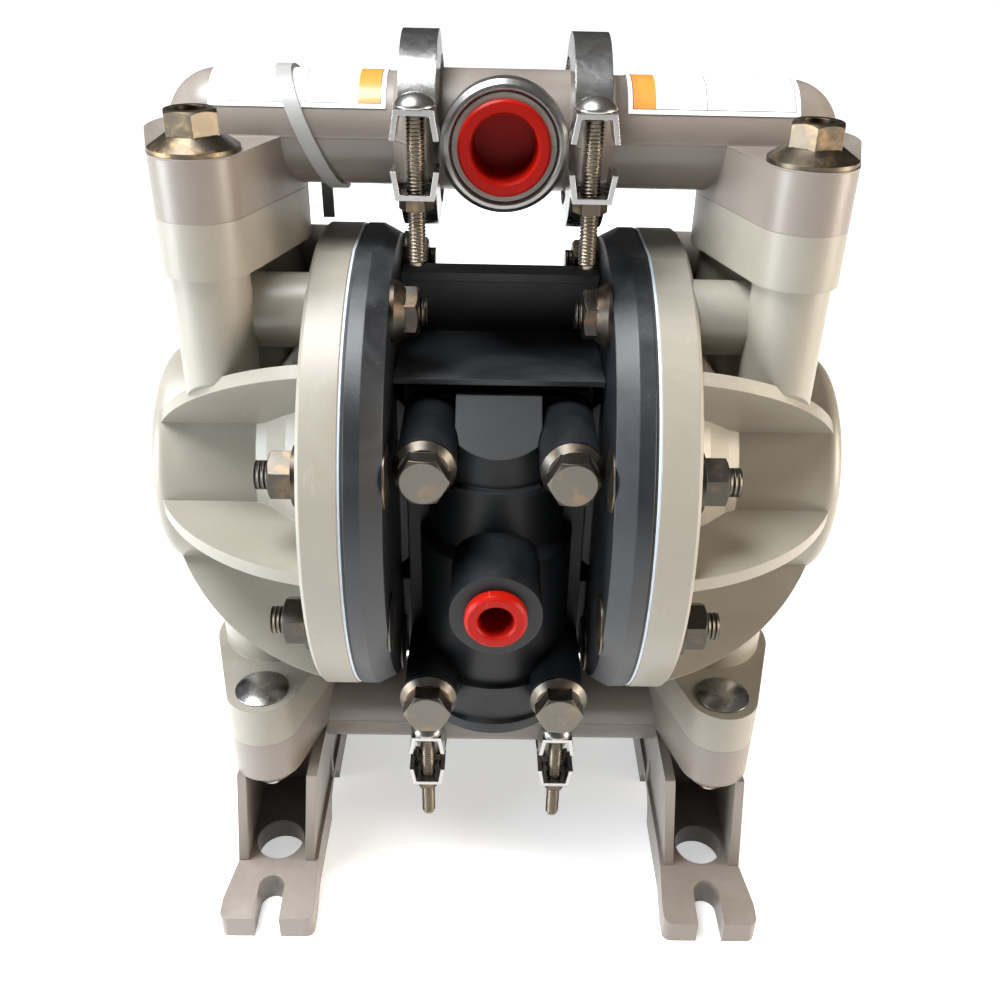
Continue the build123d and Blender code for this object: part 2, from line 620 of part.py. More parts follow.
def valve_gasket():
    back = BODY_FACE_Y - GASKET_T
    sheet = Plane((0, BODY_FACE_Y, 0), x_dir=(1, 0, 0), z_dir=(0, -1, 0)) * valve_plate()
    face = HUB_X - GASKET_T
    edge = BODY_CORNER + 0.2
    window = block(-face, face, back, BODY_FACE_Y, BODY_BOTTOM + edge, BODY_TOP - edge)
    sheet = extrude(sheet, GASKET_T) & window
    sheet -= block(-PASSAGE_HALF, PASSAGE_HALF, back - 1, 0, *PASSAGE_Z)
    for x in (-SCREW_X, SCREW_X):
        for z in SCREW_Z:
            sheet -= rod_y(0, back - 1, x, z, M8_HOLE_R)
    return sheet


def valve_spool():
    """Spool with three lands; seal grooves are cut in the outer two."""
    low, high = SPOOL_MID - SPOOL_HALF, SPOOL_MID + SPOOL_HALF
    outline = [
        (0, low), (SPOOL_R, low), (SPOOL_R, low + 3), (SPOOL_R - 1.5, low + 3), (SPOOL_R - 1.5, low + 5),
        (SPOOL_R, low + 5), (SPOOL_R, low + 8), (SPOOL_WAIST_R, low + 8), (SPOOL_WAIST_R, SPOOL_MID - 4),
        (SPOOL_R, SPOOL_MID - 4), (SPOOL_R, SPOOL_MID),
    ]
    upper = [(r, 2 * SPOOL_MID - z) for r, z in reversed(outline[:-1])]
    return Pos(0, SPOOL_Y, 0) * turned_up(outline + upper)


def spool_seals():
    low, high = SPOOL_MID - SPOOL_HALF, SPOOL_MID + SPOOL_HALF
    rings = []
    for z in (low + 3, high - 5):
        ring = rod_z(z, z + 2, 0, SPOOL_Y, SPOOL_R - 0.02) - rod_z(z - 1, z + 3, 0, SPOOL_Y, SPOOL_R - 1.5)
        rings.append(ring)
    return rings


def muffler():
    """Screwed exhaust silencer with a hexagonal root and shallow rings along its barrel."""
    hex_end = EXHAUST_FACE_Y + 7
    barrel = [(0, 0), (MUFFLER_R, 0)]
    length = MUFFLER_END_Y - hex_end
    rings = 5
    pitch = (length - 5) / rings
    for k in range(rings):
        z = 1.5 + k * pitch
        barrel += [(MUFFLER_R, z), (MUFFLER_R - 1, z + 0.6), (MUFFLER_R - 1, z + 2.0), (MUFFLER_R, z + 2.6)]
    barrel += [(MUFFLER_R, length - 2), (MUFFLER_R - 2, length), (0, length)]
    nose = Pos(0, hex_end, EXHAUST_Z) * Rot(-90, 0, 0) * turned_up(barrel)
    hexed = Pos(0, EXHAUST_FACE_Y, EXHAUST_Z) * Rot(-90, 0, 0) * hexagon(22, 7.2)
    return nose + hexed + rod_y(EXHAUST_FACE_Y - 12, EXHAUST_FACE_Y + 1, 0, EXHAUST_Z, MUFFLER_BORE_R)


# ---- Outlet elbows and their joints ----
def bent_pipe(radius):
    """Straight run along X that turns down onto the upper joint face round a ball corner."""
    run = rod_x(CLAMP_X + TEE_GAP, COLUMN_X, 0, PIPE_Z, radius)
    drop = rod_z(JOINT_Z, PIPE_Z, COLUMN_X, 0, radius)
    return run + drop + Pos(COLUMN_X, 0, PIPE_Z) * Sphere(radius)


def ferrule(face_x):
    """Clamped collar at a pipe end; the sloping back takes the band clamp."""
    return Pos(0, 0, PIPE_Z) * turned([
        (face_x, 0), (face_x, FERRULE_R), (face_x + FERRULE_LAND, FERRULE_R),
        (face_x + FERRULE_SLOPE_X, FERRULE_ROOT_R), (face_x + FERRULE_SLOPE_X + 3, PIPE_R), (face_x + 8, 0),
    ])


def seal_groove():
    """Ring recess shared by a pair of ferrules, centred on the clamp."""
    ring = rod_x(CLAMP_X - SEAL_T / 2, CLAMP_X + SEAL_T / 2, 0, PIPE_Z, SEAL_RING_R[1])
    return ring - rod_x(0, COLUMN_X, 0, PIPE_Z, SEAL_RING_R[0])


def plain_elbow():
    """Flange, bend and ferrule that the outlet elbows and the feet share, drawn at the outlet."""
    body = flange_plate(JOINT_Z, PIPE_Z) + bent_pipe(PIPE_R) + ferrule(CLAMP_X + TEE_GAP)
    body -= bent_pipe(PIPE_BORE_R)
    body -= seal_groove()
    for hole in flange_bolt_holes(JOINT_Z - 1, PIPE_Z + 1):
        body -= hole
    return body


def tee_body():
    """Swivelling run between the two clamps, its port facing -Y."""
    half = CLAMP_X - TEE_GAP
    run = rod_x(-half, half, 0, PIPE_Z, TEE_R)
    collar = Pos(0, 0, PIPE_Z) * turned([
        (half, 0), (half, FERRULE_R), (half - FERRULE_LAND, FERRULE_R),
        (half - FERRULE_SLOPE_X, FERRULE_ROOT_R), (half - FERRULE_SLOPE_X - 1, TEE_R), (half - 7, 0),
    ])
    run += collar + other_side(collar)
    run += rod_y(0, -PORT_FACE + PORT_LAND, 0, PIPE_Z, PORT_NECK_R)
    run += rod_y(0, -PORT_FACE, 0, PIPE_Z, PORT_LAND_R)
    run -= rod_x(-CLAMP_X, CLAMP_X, 0, PIPE_Z, PIPE_BORE_R)
    run -= rod_y(0, -PORT_FACE, 0, PIPE_Z, PORT_PASSAGE_R)
    run -= rod_y(-PORT_FACE + PORT_THREAD_L, -PORT_FACE - 1, 0, PIPE_Z, PORT_BORE_R)
    groove = seal_groove()
    return run - groove - other_side(groove)


def port_ring():
    """Polished sleeve pressed over the port, rolled in over its front edge."""
    front, back = PORT_FACE + 0.5, PORT_FACE - PORT_RING_L
    profile = Pos(0, 0, PIPE_Z) * Rot(90, 0, 0) * turned_up([
        (PORT_NECK_R, back), (PORT_LIP_R, back), (PORT_LIP_R, front - 1.6), (PORT_LIP_R - 1.2, front - 0.3),
        (PORT_LIP_R - 2.2, front), (PORT_LAND_R + 0.5, front - 0.4), (PORT_LAND_R + 0.1, front - 1.1),
        (PORT_NECK_R, front - 1.1),
    ])
    return profile


def tee_seals():
    ring = rod_x(CLAMP_X - SEAL_T / 2, CLAMP_X + SEAL_T / 2, 0, PIPE_Z, SEAL_RING_R[1] - 0.1)
    ring -= rod_x(0, COLUMN_X, 0, PIPE_Z, SEAL_RING_R[0] + 0.1)
    return [ring, other_side(ring)]


def port_plug():
    """Shipping plug for the fluid port: thin cup with a flat flange."""
    return Pos(0, -PORT_FACE, PIPE_Z) * Rot(90, 0, 0) * turned_up([
        (0, -PORT_PLUG_L), (PORT_BORE_R - PLUG_FIT - 0.6, -PORT_PLUG_L), (PORT_BORE_R - PLUG_FIT, -PORT_PLUG_L + 3),
        (PORT_BORE_R - PLUG_FIT, 0), (PORT_PLUG_FLANGE_R, 0), (PORT_PLUG_FLANGE_R, PLUG_FLANGE_T - 0.6),
        (PORT_PLUG_FLANGE_R - 0.6, PLUG_FLANGE_T), (PORT_BORE_R - PLUG_WALL + 0.4, PLUG_FLANGE_T),
        (PORT_BORE_R - PLUG_FIT - PLUG_WALL, PLUG_FLANGE_T - 0.8),
        (PORT_BORE_R - PLUG_FIT - PLUG_WALL - 0.6, -PORT_PLUG_L + PLUG_WALL), (0, -PORT_PLUG_L + PLUG_WALL),
    ])


def air_plug():
    """Shipping plug for the air inlet, with a thick soft flange."""
    stem = AIR_BORE_R - PLUG_FIT
    return Pos(0, AIR_FACE_Y, AIR_Z) * Rot(90, 0, 0) * turned_up([
        (0, -AIR_PLUG_L), (stem - 0.5, -AIR_PLUG_L), (stem, -AIR_PLUG_L + 2), (stem, 0),
        (AIR_PLUG_FLANGE_R, 0), (AIR_PLUG_FLANGE_R, AIR_PLUG_FLANGE_T - 1),
        (AIR_PLUG_FLANGE_R - 1, AIR_PLUG_FLANGE_T), (stem - PLUG_WALL + 0.6, AIR_PLUG_FLANGE_T),
        (stem - PLUG_WALL, AIR_PLUG_FLANGE_T - 0.6), (stem - PLUG_WALL - 0.4, -AIR_PLUG_L + PLUG_WALL),
        (0, -AIR_PLUG_L + PLUG_WALL),
    ])


# ---- Check valves ----
def valve_seat():
    seat = rod_z(JOINT_Z - SEAT_T, JOINT_Z, COLUMN_X, 0, SEAT_R)
    seat -= rod_z(JOINT_Z - SEAT_T - 1, JOINT_Z + 1, COLUMN_X, 0, SEAT_BORE_R)
    return seat - Pos(COLUMN_X, 0, JOINT_Z + BALL_RISE) * Sphere(BALL_R + SEAT_CLEARANCE)


def seat_ring():
    return Pos(COLUMN_X, 0, JOINT_Z - ORING_GROOVE_T / 2) * Torus(ORING_RING_R, ORING_R)


def check_ball():
    return Pos(COLUMN_X, 0, JOINT_Z + BALL_RISE) * Sphere(BALL_R)


def down(shape):
    """Move a check valve part from the upper joint to the lower one; it still opens upwards."""
    return Pos(0, 0, -2 * JOINT_Z) * shape


def four_valves(shape):
    upper = [shape, other_side(shape)]
    return upper + [down(s) for s in upper]


# ---- Feet ----
def foot_plan():
    """Foot plate outline: wide toes, flaring in to the narrower strip between them."""
    flare = WALL_Y + 15
    outer = [(TOE_X[1], -TOE_Y), (TOE_X[1], -flare), (WALL_OUT_FEET[1], -WALL_Y)]
    inner = [(TOE_X[0], -TOE_Y), (TOE_X[0], -flare), (WALL_IN_FEET[0] - 1.5, -WALL_Y)]
    front = list(reversed(inner)) + outer
    back = [(x, -y) for x, y in reversed(front)]
    return make_face(Polyline(*front, *back, close=True))


def leaning_wall(low, high):
    """Wall between the foot plate and the elbow's flange, spread outwards at its root."""
    section = Polyline(
        (low[0], 0, TOE_TOP - 1), (low[1], 0, TOE_TOP - 1), (high[1], 0, -PIPE_Z), (high[0], 0, -PIPE_Z),
        close=True,
    )
    return extrude(make_face(section), WALL_Y, both=True)


def foot():
    """Foot plate with its slots and tool holes, two leaning walls and a web, under the inlet elbow."""
    floor = -AXIS_HEIGHT
    plate = extrude(Pos(0, 0, floor) * foot_plan(), TOE_TOP - floor)
    plate = fillet(plate.edges().filter_by(Axis.Z).filter_by(lambda e: abs(e.center().Y) > TOE_Y - 1), 3)
    slope = Polyline(
        (0, TOE_Y + 1, floor + TOE_T), (0, TOE_RISE_Y, TOE_TOP), (0, TOE_RISE_Y, 0), (0, TOE_Y + 1, 0),
        close=True,
    )
    wedge = extrude(make_face(slope), 2 * DRUM_END_X, both=True)
    plate -= wedge
    plate -= mirror(wedge, about=Plane.XZ)
    walls = leaning_wall(WALL_IN_FEET, WALL_IN_TOP) + leaning_wall(WALL_OUT_FEET, WALL_OUT_TOP)
    half = FOOT_WEB_T / 2
    web = block(WALL_IN_TOP[1] - 1, WALL_OUT_TOP[0] + 1, -half, half, TOE_TOP - 1, -PIPE_Z)
    body = plate + walls + web
    body -= Pos(COLUMN_X, 0, floor) * Rot(0, 90, 0) * Cylinder(ARCH_R, COLUMN_X)
    body -= block(WALL_IN_FEET[1], WALL_OUT_FEET[0], -RECESS_Y, RECESS_Y, floor - 1, floor + RECESS_T)
    middle = (TOE_X[0] + TOE_X[1]) / 2
    for side in (-1, 1):
        y_end, y_edge = sorted((side * SLOT_END_Y, side * (TOE_Y + 1)))
        body -= block(middle - SLOT_W / 2, middle + SLOT_W / 2, y_end, y_edge, floor - 1, TOE_TOP)
        body -= rod_z(floor - 1, TOE_TOP + 1, middle, side * SLOT_END_Y, SLOT_W / 2)
        body -= rod_z(floor - 1, TOE_TOP + 1, COLUMN_X, side * FLANGE_BOLT_Y, TOOL_HOLE_R)
    return body - underside(bent_pipe(PIPE_R + ELBOW_FIT))


def inlet_elbow():
    return underside(plain_elbow()) - down(seat_pocket())


# ---- Band clamps, drawn about the pipe axis at the origin and moved into place ----
def clamp_band():
    """V-section band, open at the front between its two bent ends."""
    t = BAND_T
    band = turned([
        (-BAND_SKIRT, BAND_SKIRT_R), (-BAND_HALF, BAND_R), (BAND_HALF, BAND_R), (BAND_SKIRT, BAND_SKIRT_R),
        (BAND_SKIRT - t, BAND_SKIRT_R), (BAND_HALF - 0.8 * t, BAND_R - t), (-BAND_HALF + 0.8 * t, BAND_R - t),
        (-BAND_SKIRT + t, BAND_SKIRT_R),
    ])
    band -= block(-DRUM_R, DRUM_R, -DRUM_R, 0, -BAND_GAP, BAND_GAP)
    return band


def clamp_saddle(z, arms_up):
    """Small bent bridge over the bolt, held by ears from the band's end."""
    way = 1 if arms_up else -1
    z0, z1 = sorted((z, z + SADDLE_T))
    y0, y1 = -TBOLT_Y - SADDLE_HALF, -TBOLT_Y + SADDLE_HALF
    bridge = block(-SADDLE_HALF, SADDLE_HALF, y0, y1, z0, z1)
    for side in (-1, 1):
        inner, outer = side * (SADDLE_HALF - SADDLE_T), side * SADDLE_HALF
        tip_z = (z1 if arms_up else z0) + way * SADDLE_ARM
        root_z = z0 if arms_up else z1
        arm = Polyline(
            (inner, y0, root_z), (outer, y0, root_z), (outer + side * SADDLE_SPREAD, y0, tip_z),
            (inner + side * SADDLE_SPREAD, y0, tip_z), close=True,
        )
        bridge += extrude(make_face(arm), y1 - y0, dir=(0, 1, 0))
    return bridge - rod_z(z0 - 1, z1 + 1, 0, -TBOLT_Y, TBOLT_R + 0.3)


def clamp_ear(upper):
    """Tab that ties a saddle to the end of the band, behind the bolt."""
    z0, z1 = (BAND_GAP - 2.5, BAND_GAP + 0.6) if upper else (-BAND_GAP - 2.5, -BAND_GAP + 1)
    tab = block(-BAND_HALF, BAND_HALF, -TBOLT_Y + SADDLE_HALF - 0.3, -BAND_R + 4.5, z0, z1)
    return tab - rod_x(-BAND_SKIRT, BAND_SKIRT, 0, 0, FERRULE_R + 0.3)


def clamp_bolt():
    shank = rod_z(-TBOLT_TAIL, TBOLT_TOP + SADDLE_T + 0.5, 0, -TBOLT_Y, TBOLT_R)
    return shank + Pos(0, -TBOLT_Y, TBOLT_TOP + SADDLE_T) * carriage_head(TBOLT_HEAD_R, 3.6)


def clamp_nut():
    nut = hexagon(CLAMP_NUT_AF, CLAMP_NUT_T, TBOLT_R + 0.02)
    return Pos(0, -TBOLT_Y, SADDLE_LOW - CLAMP_NUT_T) * nut


def at_clamps(shape):
    """Copies of one clamp piece at the two joints of each manifold."""
    return [Pos(x, 0, z) * shape for x in (-CLAMP_X, CLAMP_X) for z in (-PIPE_Z, PIPE_Z)]


# ---- Chamber bolts ----
def through_bolts():
    """Carriage bolts through both rims, from the air side."""
    head_x = AIR_RIM_BACK_X
    end_x = RIM_OUT_X + WASHER_T + M8_NUT_T + 4
    bolts = []
    for y, z in around(THROUGH_ANGLES, BOLT_CIRCLE_R):
        bolt = rod_x(head_x - 0.4, end_x, y, z, M8_R)
        bolt += Pos(head_x, y, z) * Rot(0, -90, 0) * carriage_head(CARRIAGE_R, LOW_HEAD_T)
        bolts += [bolt, other_side(bolt)]
    return bolts


def through_washers():
    rings = []
    for y, z in around(THROUGH_ANGLES, BOLT_CIRCLE_R):
        ring = rod_x(RIM_OUT_X, RIM_OUT_X + WASHER_T, y, z, WASHER_R)
        ring -= rod_x(0, DRUM_END_X, y, z, M8_HOLE_R)
        rings += [ring, other_side(ring)]
    return rings


def through_nuts():
    nuts = []
    for y, z in around(THROUGH_ANGLES, BOLT_CIRCLE_R):
        nut = along_x(hexagon(M8_AF, M8_NUT_T, M8_R + THREAD_FIT), RIM_OUT_X + WASHER_T, y, z)
        nuts += [nut, other_side(nut)]
    return nuts


def cap_studs():
    """Studs screwed into the fluid caps' upper bosses and through the air caps."""
    studs = []
    for y, z in around(STUD_ANGLES, BOLT_CIRCLE_R):
        stud = rod_x(AIR_RIM_BACK_X - M8_NUT_T - 3.4, FLUID_RIM_X + STUD_IN, y, z, M8_R - THREAD_FIT)
        studs += [stud, other_side(stud)]
    return studs


def cap_stud_nuts():
    nuts = []
    for y, z in around(STUD_ANGLES, BOLT_CIRCLE_R):
        nut = Pos(AIR_RIM_BACK_X, y, z) * Rot(0, -90, 0) * flange_nut(M8_DISC_R)
        nuts += [nut, other_side(nut)]
    return nuts


# ---- Manifold fasteners ----
def four_ways(shape):
    """A fastener drawn at the front right column, repeated at all four."""
    right = [shape, mirror(shape, about=Plane.XZ)]
    return right + [other_side(s) for s in right]


def manifold_studs():
    end = PIPE_Z + 1.2 + BIG_NUT_T - 1.5
    return four_ways(rod_z(JOINT_Z - STUD_DEPTH, end, COLUMN_X, -FLANGE_BOLT_Y, M8_R - THREAD_FIT))


def manifold_stud_nuts():
    nut = Rot(0, 0, BIG_NUT_TURN) * flange_nut(BIG_DISC_R, BIG_NUT_T)
    return four_ways(Pos(COLUMN_X, -FLANGE_BOLT_Y, PIPE_Z) * nut)


def foot_bolts():
    top = -JOINT_Z + CAP_FLANGE_T
    bolt = rod_z(-PIPE_Z - M8_NUT_T - 3, top + 0.5, COLUMN_X, -FLANGE_BOLT_Y, M8_R)
    head = Pos(COLUMN_X, -FLANGE_BOLT_Y, top) * carriage_head(CARRIAGE_R, CARRIAGE_T)
    return four_ways(bolt + head)


def foot_nuts():
    nut = Rot(180, 0, 30) * hexagon(M8_AF, M8_NUT_T, M8_R + THREAD_FIT)
    return four_ways(Pos(COLUMN_X, -FLANGE_BOLT_Y, -PIPE_Z) * nut)


def valve_screws():
    length = BODY_FACE_Y + 13 - SCREW_FACE_Y
    return [to_front(flange_screw(length), x, SCREW_FACE_Y, z) for x in (-SCREW_X, SCREW_X) for z in SCREW_Z]


# ---- Cable tie round the left outlet pipe ----
def cable_tie():
    inner = PIPE_R + 0.2
    reach = 2 * PIPE_R
    band_slab = Rot(0, -TIE_LEAN, 0) * Box(TIE_W, 3 * reach, 3 * reach)
    hoop = (rod_x(-reach, reach, 0, 0, inner + TIE_T) - rod_x(-reach - 1, reach + 1, 0, 0, inner)) & band_slab
    head_y = inner + 0.1 + TIE_HEAD_T / 2
    head = Pos(0, head_y, -1) * Box(TIE_W + 2, TIE_HEAD_T, TIE_HEAD_H)
    tail = Rot(4, 0, 0) * Box(TIE_W - 0.6, TIE_T, TIE_TAIL_L)
    tail = Pos(-0.4, head_y + 0.2, -TIE_TAIL_L / 2 - TIE_HEAD_H / 2) * tail
    return Pos(TIE_X, 0, PIPE_Z) * (hoop + head + tail)


# ---- Write the sub-parts ----
cap, air, elbow, base = fluid_cap(), air_cap(), plain_elbow(), foot()
for side_name, place in (("right", lambda shape: shape), ("left", other_side)):
    save(f"fluid_cap_{side_name}", place(cap))
    save(f"air_cap_{side_name}", place(air))
    save(f"outlet_elbow_{side_name}", place(elbow))
    save(f"inlet_elbow_{side_name}", place(inlet_elbow()))
    save(f"foot_{side_name}", place(base))
    save(f"diaphragm_{side_name}", place(diaphragm()))
    save(f"diaphragm_backup_{side_name}", place(diaphragm_backup()))
    save(f"fluid_side_plate_{side_name}", place(fluid_side_plate()))
    save(f"air_side_plate_{side_name}", place(air_side_plate()))
    save(f"outlet_ball_{side_name}", place(check_ball()))
    save(f"inlet_ball_{side_name}", place(down(check_ball())))

save("centre_body", centre_body())
save("centre_gaskets", *centre_gaskets())
save("air_cap_screws", *cap_screws())
save("diaphragm_shaft", diaphragm_shaft())
save("shaft_bushes", shaft_bush(), other_side(shaft_bush()))
save("shaft_seals", shaft_seal(), other_side(shaft_seal()))
save("pilot_rod", pilot_rod())

save("valve_block", valve_block())
save("valve_top_cap", valve_top_cap())
save("valve_end_cap", valve_end_cap())
save("valve_gasket", valve_gasket())
save("valve_screws", *valve_screws())
save("valve_spool", valve_spool())
save("spool_seals", *spool_seals())
save("air_plug", air_plug())
save("muffler", muffler())

save("valve_seats", *four_valves(valve_seat()))
save("seat_rings", *four_valves(seat_ring()))

tee = tee_body()
turned_over = Rot(0, 180, 0) * Rot(0, 0, 180)
save("outlet_tee", tee)
save("inlet_tee", turned_over * tee)
save("tee_seals", *tee_seals(), *[underside(ring) for ring in tee_seals()])
save("outlet_port_ring", port_ring())
save("outlet_plug", port_plug())

band = clamp_band() + clamp_ear(True) + clamp_ear(False)
band += clamp_saddle(TBOLT_TOP, False) + clamp_saddle(SADDLE_LOW, True)
save("clamp_bands", *at_clamps(band))
save("clamp_bolts", *at_clamps(clamp_bolt()))
save("clamp_nuts", *at_clamps(clamp_nut()))

save("chamber_bolts", *through_bolts())
save("chamber_washers", *through_washers())
save("chamber_nuts", *through_nuts())
save("cap_studs", *cap_studs())
save("cap_stud_nuts", *cap_stud_nuts())
save("manifold_studs", *manifold_studs())
save("manifold_stud_nuts", *manifold_stud_nuts())
save("foot_bolts", *foot_bolts())
save("foot_nuts", *foot_nuts())
save("cable_tie", cable_tie())
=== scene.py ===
"""Finishes and stage for an air operated diaphragm pump, laid out as a Blender add-on."""

import math

import bmesh
import bpy
from mathutils import Matrix, Vector


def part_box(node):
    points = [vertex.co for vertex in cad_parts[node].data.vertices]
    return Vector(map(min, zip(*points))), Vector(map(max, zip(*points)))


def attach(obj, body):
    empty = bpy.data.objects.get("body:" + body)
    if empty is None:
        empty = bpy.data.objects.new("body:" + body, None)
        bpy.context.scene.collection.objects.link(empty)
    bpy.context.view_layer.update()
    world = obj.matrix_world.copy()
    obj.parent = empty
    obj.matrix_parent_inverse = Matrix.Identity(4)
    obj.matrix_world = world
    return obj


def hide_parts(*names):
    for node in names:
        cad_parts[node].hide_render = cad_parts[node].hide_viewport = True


bl_info = {
    "name": "Diaphragm pump dresser",
    "version": (1, 0, 0),
    "blender": (4, 5, 0),
    "location": "View3D > Sidebar > Pump",
    "description": "Adds finishes, threaded clamp bolts, stickers and a stage to a diaphragm pump",
    "category": "Object",
}

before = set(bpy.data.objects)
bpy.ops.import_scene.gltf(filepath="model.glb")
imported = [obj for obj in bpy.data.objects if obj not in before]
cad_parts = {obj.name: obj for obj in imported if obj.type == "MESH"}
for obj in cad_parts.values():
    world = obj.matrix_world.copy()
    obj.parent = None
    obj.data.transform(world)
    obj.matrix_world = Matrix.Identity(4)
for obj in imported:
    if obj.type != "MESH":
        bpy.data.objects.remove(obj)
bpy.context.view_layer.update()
MM = 0.001

# The axes of the two manifolds lie one ferrule radius inside the tees' rims.
FERRULE_R = 23.8 * MM
OUTLET_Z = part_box("outlet_tee")[1].z - FERRULE_R
INLET_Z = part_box("inlet_tee")[0].z + FERRULE_R
PIPE_R = 15.1 * MM


# ---- Settings a user would change ----
def colour(name, description, default):
    return bpy.props.FloatVectorProperty(
        name=name, description=description, default=default, size=3, subtype="COLOR", min=0.0, max=1.0
    )


def length(name, description, default):
    return bpy.props.FloatProperty(
        name=name, description=description, default=default, unit="LENGTH", subtype="DISTANCE", min=0.0
    )


def power(name, description, default):
    return bpy.props.FloatProperty(name=name, description=description, default=default, unit="POWER")


def turn(name, description, default):
    return bpy.props.FloatProperty(name=name, description=description, default=default, subtype="ANGLE")


class PumpFinishSettings(bpy.types.PropertyGroup):
    """Colours of the pump's materials."""

    chamber: colour("Fluid caps", "Moulded fluid chambers", (0.262, 0.242, 0.200))
    manifold: colour("Manifolds", "Elbows, feet and tees", (0.205, 0.176, 0.152))
    # The slight blue tint of this black is a painted cool reflection.
    air_side: colour("Air side", "Black air caps, centre body and valve", (0.0080, 0.0098, 0.0125))
    diaphragm: colour("Diaphragm", "Edge of the fluoropolymer diaphragm", (0.66, 0.74, 0.82))
    rubber: colour("Rubber", "Seals and backing diaphragms", (0.02, 0.02, 0.02))
    fastener: colour("Fasteners", "Dull stainless of the screws and nuts", (0.115, 0.106, 0.092))
    clamp: colour("Clamps", "Pressed stainless of the band clamps", (0.38, 0.375, 0.37))
    plug: colour("Plugs", "Shipping plugs", (0.36, 0.007, 0.003))
    tie: colour("Cable tie", "Nylon of the tie", (0.36, 0.36, 0.35))
    sticker: colour("Stickers", "Plain paper stickers", (0.86, 0.87, 0.88))
    sticker_block: colour("Sticker block", "Coloured end of each sticker", (0.80, 0.26, 0.035))
    sticker_line: colour("Sticker line", "Thin frame printed on each sticker", (0.05, 0.05, 0.06))


class PumpSizeSettings(bpy.types.PropertyGroup):
    """Sizes of the pieces added to the pump."""

    sticker_thickness: length("Sticker thickness", "Paper thickness", 0.15 * MM)
    thread_pitch: length("Thread pitch", "Pitch of the clamp bolts", 0.95 * MM)
    thread_depth: length("Thread depth", "Depth of the clamp bolts' thread", 0.42 * MM)
    edge_round: length("Edge rounding", "Rounding seen on moulded edges", 0.5 * MM)


class PumpStageSettings(bpy.types.PropertyGroup):
    """Camera, lamps and floor."""

    lens: bpy.props.FloatProperty(name="Lens", description="Focal length", default=37.107, unit="CAMERA")
    camera_place: bpy.props.FloatVectorProperty(
        name="Camera place", description="Camera position", default=(-0.00284, -0.30492, 0.32159),
        size=3, subtype="TRANSLATION",
    )
    yaw: turn("Yaw", "Turn towards +X", 0.0137)
    pitch: turn("Pitch", "Tilt downwards", math.radians(30.33))
    roll: turn("Roll", "Camera roll", 0.0233)
    key_power: power("Key", "Key lamp power", 20.5)
    fill_power: power("Fill", "Fill lamp power", 11.0)
    window_power: power("Window", "Cool side lamp power", 11.0)
    sky: bpy.props.FloatProperty(name="Sky", description="Strength of the even light", default=0.26)
    floor: colour("Floor", "Pale floor", (0.90, 0.90, 0.90))


def finishes():
    return bpy.context.scene.pump_finish


def sizes():
    return bpy.context.scene.pump_size


def stage_settings():
    return bpy.context.scene.pump_stage


# ---- Shader helpers ----
def add(tree, kind, **inputs):
    """New node; each keyword names an input socket, with underscores for spaces."""
    node = tree.nodes.new(kind)
    for name, value in inputs.items():
        node.inputs[name.replace("_", " ")].default_value = value
    return node


def join(tree, source, target):
    tree.links.new(source, target)


def feed(tree, sockets, values):
    """Link each value that is a socket, and set each that is a number or a colour."""
    for socket, value in zip(sockets, values):
        if isinstance(value, (int, float)):
            socket.default_value = value
        elif isinstance(value, (tuple, list)):
            socket.default_value = (*value[:3], 1.0)
        else:
            join(tree, value, socket)


def maths(tree, operation, *values, clamp=False):
    node = tree.nodes.new("ShaderNodeMath")
    node.operation = operation
    node.use_clamp = clamp
    feed(tree, node.inputs, values)
    return node.outputs[0]


def blend_colours(tree, factor, a, b):
    node = tree.nodes.new("ShaderNodeMix")
    node.data_type = "RGBA"
    feed(tree, (node.inputs[0], node.inputs[6], node.inputs[7]), (factor, a, b))
    return node.outputs[2]


def ramp(tree, value, low, high):
    """0 at low and 1 at high, with soft ends."""
    node = tree.nodes.new("ShaderNodeMapRange")
    node.interpolation_type = "SMOOTHSTEP"
    node.inputs["From Min"].default_value = low
    node.inputs["From Max"].default_value = high
    join(tree, value, node.inputs["Value"])
    return node.outputs[0]


def object_place(tree):
    return tree.nodes.new("ShaderNodeTexCoord").outputs["Object"]


def axis_value(tree, axis):
    split = tree.nodes.new("ShaderNodeSeparateXYZ")
    join(tree, object_place(tree), split.inputs[0])
    return split.outputs[axis]


def bump(tree, height, distance, normal=None):
    node = tree.nodes.new("ShaderNodeBump")
    node.inputs["Distance"].default_value = distance
    join(tree, height, node.inputs["Height"])
    if normal is not None:
        join(tree, normal, node.inputs["Normal"])
    return node.outputs[0]


def scaled(base, factor, lift=0.0):
    """A colour made lighter or darker."""
    return tuple(min(1.0, channel * factor + lift) for channel in base)


# ---- Shared surface effects ----
SCUFF_SCALE = (900.0, 60.0, 140.0)
SCUFF_TURN = (0.5, 0.9, 0.3)
SPECK_SCALE = 620.0
EDGE_FULL = 0.80  # cosine between softened and flat normals at which an edge counts in full
EDGE_NONE = 0.985


def new_group(name, inputs, outputs):
    """Empty shader node group with float inputs and the given outputs, and its two end nodes."""
    group = bpy.data.node_groups.new(name, "ShaderNodeTree")
    for label, default in inputs:
        socket = group.interface.new_socket(label, in_out="INPUT", socket_type="NodeSocketFloat")
        socket.default_value = default
    for label, kind in outputs:
        group.interface.new_socket(label, in_out="OUTPUT", socket_type=kind)
    return group, group.nodes.new("NodeGroupInput"), group.nodes.new("NodeGroupOutput")


def noise(group, place, scale, **inputs):
    """Noise value at a place; scale is a number or a socket."""
    node = add(group, "ShaderNodeTexNoise", **inputs)
    join(group, place, node.inputs["Vector"])
    feed(group, (node.inputs["Scale"],), (scale,))
    return node.outputs["Fac"]


